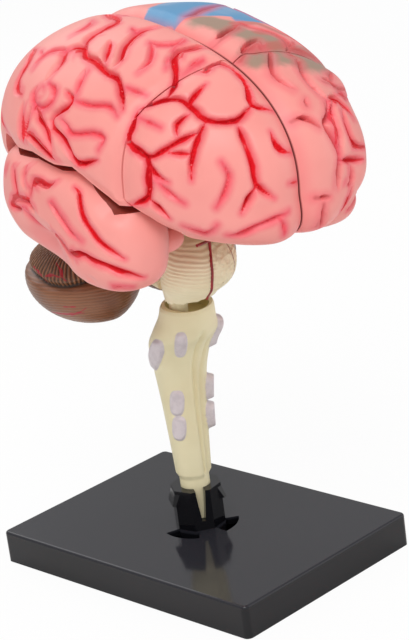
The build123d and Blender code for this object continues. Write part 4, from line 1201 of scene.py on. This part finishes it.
def padAndRise(height, spots, ring, turn, width):  # how far inside a pad each point lies, and its rise
    s = spine
    pad, rise = np.full(len(ring), -1.0), np.zeros(len(ring))
    for place, angle, halfHeight, halfWidth, lift, slant in s["pads"]:
        a = math.radians(angle)
        middle = [float(value) for value in sectionAt(s["sections"], place)]
        sideways = np.array([-middle[0] * math.sin(a), middle[1] * math.cos(a)])
        sideways /= np.linalg.norm(sideways)
        centre = (middle[0] * math.cos(a), middle[2] + middle[1] * math.sin(a))
        arc = (spots[:, :2] - centre) @ sideways - slant * (height - place)
        behind = ring[:, :2] @ (math.cos(a), math.sin(a)) < 0
        span = np.abs(arc / halfWidth) ** 2.8 + np.abs((height - place) / halfHeight) ** 2.8 + 9 * behind
        pad = np.maximum(pad, 1.15 - span)
        rise = np.maximum(rise, lift * eased((1.0 - span) / 0.6))
    for groove in s["grooves"]:
        heights, angles = zip(*sorted(groove["line"]))
        arc = np.radians((np.degrees(turn) - np.interp(height, heights, angles) + 180) % 360 - 180) * width
        ends = np.clip((heights[-1] - height) / 3, 0, 1)
        rise -= groove["depth"] * ends * np.exp(-(arc / groove["reach"]) ** 2) * (pad < 0)
    return pad, rise


def makeSpine(coat, cupShade):
    s, spigot, rim = spine, spine["spigot"], spine["rim"]
    turn = 2 * np.pi * np.arange(s["around"]) / s["around"]
    ring = np.column_stack([np.cos(turn), np.sin(turn), np.zeros(s["around"])])
    heading = math.radians(stance["turn"])
    flat = np.column_stack([np.cos(turn + heading), np.sin(turn + heading), np.zeros(s["around"])])
    rounds = [sitDown(flat * spigot["radius"] * share + (0, 0, spigot["low"] + height))
              for share, height in spigot["tip"]]
    rounds += [sitDown(flat * spigot["radius"] + (0, 0, height))
               for height in np.linspace(spigot["low"] + 2, spigot["high"], spigot["rows"])]
    pads = [np.full(s["around"], -1.0)] * len(rounds)
    heights = np.linspace(s["sections"][-1][0], s["sections"][0][0], s["rows"])
    for row, height in enumerate(heights):
        width, depth, shift = [float(value) for value in sectionAt(s["sections"], height)]
        spots = ring * (width, depth, 1) + (0, shift, height)
        pad, rise = padAndRise(height, spots, ring, turn, width)
        if row > len(heights) - rim["rows"]:
            rise -= rim["round"] * (row - len(heights) + rim["rows"]) / (rim["rows"] - 1)
        pads.append(pad)
        rounds.append(spots + ring * rise[:, None])
    made = skinOver("spineBody", rounds, [coat, cupShade])
    keepValue(made, "pad", np.concatenate(pads))
    # the walls of the cup and the pin hole take the second finish, painted shade
    for hollow in (s["cup"], s["pinHole"]):
        cutter = rod(hollow["place"], (0, 0, 1), hollow["radius"], 20, sides=hollow["sides"])
        cutter.data.materials.append(coat)
        cutter.data.materials.append(cupShade)
        cutter.data.polygons.foreach_set("material_index", [1] * len(cutter.data.polygons))
        made = carve(made, [cutter])
    setPoints(made, standUp(meshPoints(made)))
    nameBody(made, "spineColumn")
    return dress(made, "spinal_stem", "stem", 42.0)


def spineCoat():
    paint, look = Paint("spineCream", Specular_IOR_Level=0.42), spine["look"]
    mottle, fine = paint.noise(45.0), paint.noise(500.0)
    base = paint.mix(mottle.between(0.3, 0.7), look["cream"], look["deepCream"])
    lilac = paint.mix(fine.between(0.35, 0.7), look["pad"], look["deepPad"])
    base = paint.mix((paint.measure("pad") + (fine - 0.5) * 0.25).between(0.08, 0.30), base, lilac)
    ribs = paint.noise(260.0, 2.0, (1.0, 1.0, 5.0))
    return paint.finish(Base_Color=base, Roughness=0.38 + 0.14 * mottle,
                        Normal=paint.bump(fine * 0.4 + mottle + ribs * 0.3, 0.00012, 0.4))


def moulded(name, light, dark):  # plain moulded plastic, a little uneven
    paint = Paint(name, Specular_IOR_Level=0.42)
    mottle, fine = paint.noise(60.0), paint.noise(540.0)
    base = paint.mix(mottle.between(0.3, 0.7), light, dark)
    return paint.finish(Base_Color=base, Roughness=0.4 + 0.12 * mottle,
                        Normal=paint.bump(fine + mottle, 0.0001, 0.35))


# the olive finish is painted shade in the hollows
column = makeSpine(spineCoat(), moulded("cupOlive", spine["look"]["cup"], spine["look"]["deepCupShade"]))
print("spine:", len(column.data.polygons), "faces")

baseLook = {
    "black": srgb(18, 18, 22), "deepBlack": srgb(14, 14, 17), "sheen": srgb(42, 42, 48),
    "sheenBelow": (0.0088, 0.0097), "sheenAbove": (0.0099, 0.0104),  # metres, about the top of the tray, where a lighter band is painted sheen
}


def baseCoat():
    paint, look = Paint("baseBlack", Specular_IOR_Level=0.38), baseLook
    mottle, fine = paint.noise(25.0, 2.0), paint.noise(900.0)
    height = paint.add("ShaderNodeSeparateXYZ", None, {"Vector": paint.place}, output=2)
    # painted sheen: a lighter bluish band at the top of the tray
    sheened = height.between(*look["sheenBelow"]) * (1 - height.between(*look["sheenAbove"]))
    base = paint.mix(mottle.between(0.3, 0.7), look["black"], look["deepBlack"])
    return paint.finish(Base_Color=paint.mix(sheened, base, look["sheen"]),
                        Roughness=0.07 + 0.06 * mottle + 0.03 * fine,
                        Normal=paint.bump(fine, 0.00003, 0.08))


def repaint(node, material):  # a CAD node keeps its shape and gets a finish of its own
    made = cadNodes[node]
    if not made.material_slots:
        made.data.materials.append(material)
    for place in made.material_slots:
        place.material = material


innerLooks = {  # light and dark colour of each inner node, or of the pair of them
    "optic_chiasm": ((226, 198, 120), (206, 174, 96)),
    "hypothalamus": ((150, 174, 120), (124, 150, 98)),
    "hemisphere_core": ((232, 170, 160), (214, 144, 134)),
    "corpus_callosum": ((240, 232, 214), (226, 214, 192)),
    "fornix": ((238, 228, 208), (222, 208, 184)),
    "thalamus": ((166, 140, 180), (142, 116, 160)),
    "caudate_nucleus": ((110, 156, 190), (88, 134, 172)),
    "lentiform_nucleus": ((150, 176, 124), (126, 154, 102)),
    "hippocampus": ((112, 160, 196), (90, 138, 176)),
}
repaint("base_plate", baseCoat())
for name, (light, dark) in innerLooks.items():
    finish = moulded(name + "Finish", srgb(*light), srgb(*dark))
    for node in (name, name + "_right", name + "_left"):
        if node in cadNodes:
            repaint(node, finish)
print("CAD nodes painted")

view = {"turn": -43.25, "height": 18.79, "roll": -7.74, "distance": 632.8, "lens": 123.75,
        "target": (6.66, -6.26, 72.4), "sensor": 36.0, "near": 0.05, "far": 20.0}
lamps = {
    "keyLamp": {"spot": (-0.55, -0.45, 0.95), "size": 0.5, "power": 6.0},
    "fillLamp": {"spot": (0.7, -0.6, 0.30), "size": 0.7, "power": 1.0},
    "backLamp": {"spot": (0.2, 0.7, 0.7), "size": 0.6, "power": 1.6},
}
lampAim = (0.0, -0.01, 0.09)
surroundings = {
    "sky": {"onObject": 0.55, "seen": 1.0},  # strength of the light, and of the background
    "floor": {"half": 6.0, "level": -0.0002, "inset": 0.001, "roughness": 0.9, "glow": 0.94,
              "white": (0.93, 0.93, 0.93, 1.0), "underBase": (0.2, 0.2, 0.2, 1.0)},
}


def makeCamera():
    a, e, r = (math.radians(view[key]) for key in ("turn", "height", "roll"))
    back = Vector((math.sin(a) * math.cos(e), -math.cos(a) * math.cos(e), math.sin(e)))
    level = Vector((math.cos(a), math.sin(a), 0.0))
    up = back.cross(level)
    right = level * math.cos(r) + up * math.sin(r)
    above = up * math.cos(r) - level * math.sin(r)
    data = bpy.data.cameras.new("camera")
    data.sensor_fit, data.lens = "VERTICAL", view["lens"]
    data.sensor_height = data.sensor_width = view["sensor"]
    data.clip_start, data.clip_end = view["near"], view["far"]
    made = bpy.data.objects.new("camera", data)
    spot = (Vector(view["target"]) + back * view["distance"]) / 1000
    made.matrix_world = Matrix.Translation(spot) @ Matrix((right, above, back)).transposed().to_4x4()
    bpy.context.scene.collection.objects.link(made)
    bpy.context.scene.camera = made


def addLamp(name, spot, size, power):
    data = bpy.data.lights.new(name, "AREA")
    data.size, data.energy = size, power
    made = bpy.data.objects.new(name, data)
    made.location = spot
    made.rotation_mode = "QUATERNION"
    made.rotation_quaternion = (Vector(lampAim) - Vector(spot)).to_track_quat("-Z", "Y")
    bpy.context.scene.collection.objects.link(made)


def makeWorld():
    world, sky = bpy.data.worlds.new("studio"), surroundings["sky"]
    world.use_nodes = True
    nodes, background = Nodes(world.node_tree), world.node_tree.nodes["Background"]
    strength = nodes.add("ShaderNodeMapRange", None,
                         {"Value": nodes.seen(), "To Min": sky["onObject"], "To Max": sky["seen"]})
    nodes.feed(background.inputs["Color"], (1.0, 1.0, 1.0, 1.0))
    nodes.feed(background.inputs["Strength"], strength)
    bpy.context.scene.world = world


def makeFloor():
    f = surroundings["floor"]
    paint = Paint("floorWhite", Roughness=f["roughness"], Base_Color=f["white"])
    glow = paint.add("ShaderNodeEmission", None, {"Strength": 1.0})
    blend = paint.add("ShaderNodeMixShader", None, {
        0: paint.seen() * f["glow"], 1: Signal(paint, paint.shader.outputs[0]), 2: glow})
    paint.feed(paint.tree.nodes["Material Output"].inputs["Surface"], blend)
    shaded = Paint("floorShaded", Roughness=f["roughness"], Base_Color=f["underBase"])
    low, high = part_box("base_plate")
    half, level, inset = f["half"], f["level"], f["inset"]
    outside = [(-half, -half, level), (half, -half, level), (half, half, level), (-half, half, level)]
    under = [(low[0] + inset, low[1] + inset, level), (high[0] - inset, low[1] + inset, level),
             (high[0] - inset, high[1] - inset, level), (low[0] + inset, high[1] - inset, level)]
    faces = [(step, (step + 1) % 4, 4 + (step + 1) % 4, 4 + step) for step in range(4)] + [(4, 5, 6, 7)]
    floor = newObject("floor", outside + under, faces, [paint.material, shaded.material])
    floor.data.polygons[4].material_index = 1


makeCamera()
makeWorld()
makeFloor()
for name, lamp in lamps.items():
    addLamp(name, **lamp)
bpy.context.scene.view_settings.view_transform = "Standard"
print("surroundings ready")
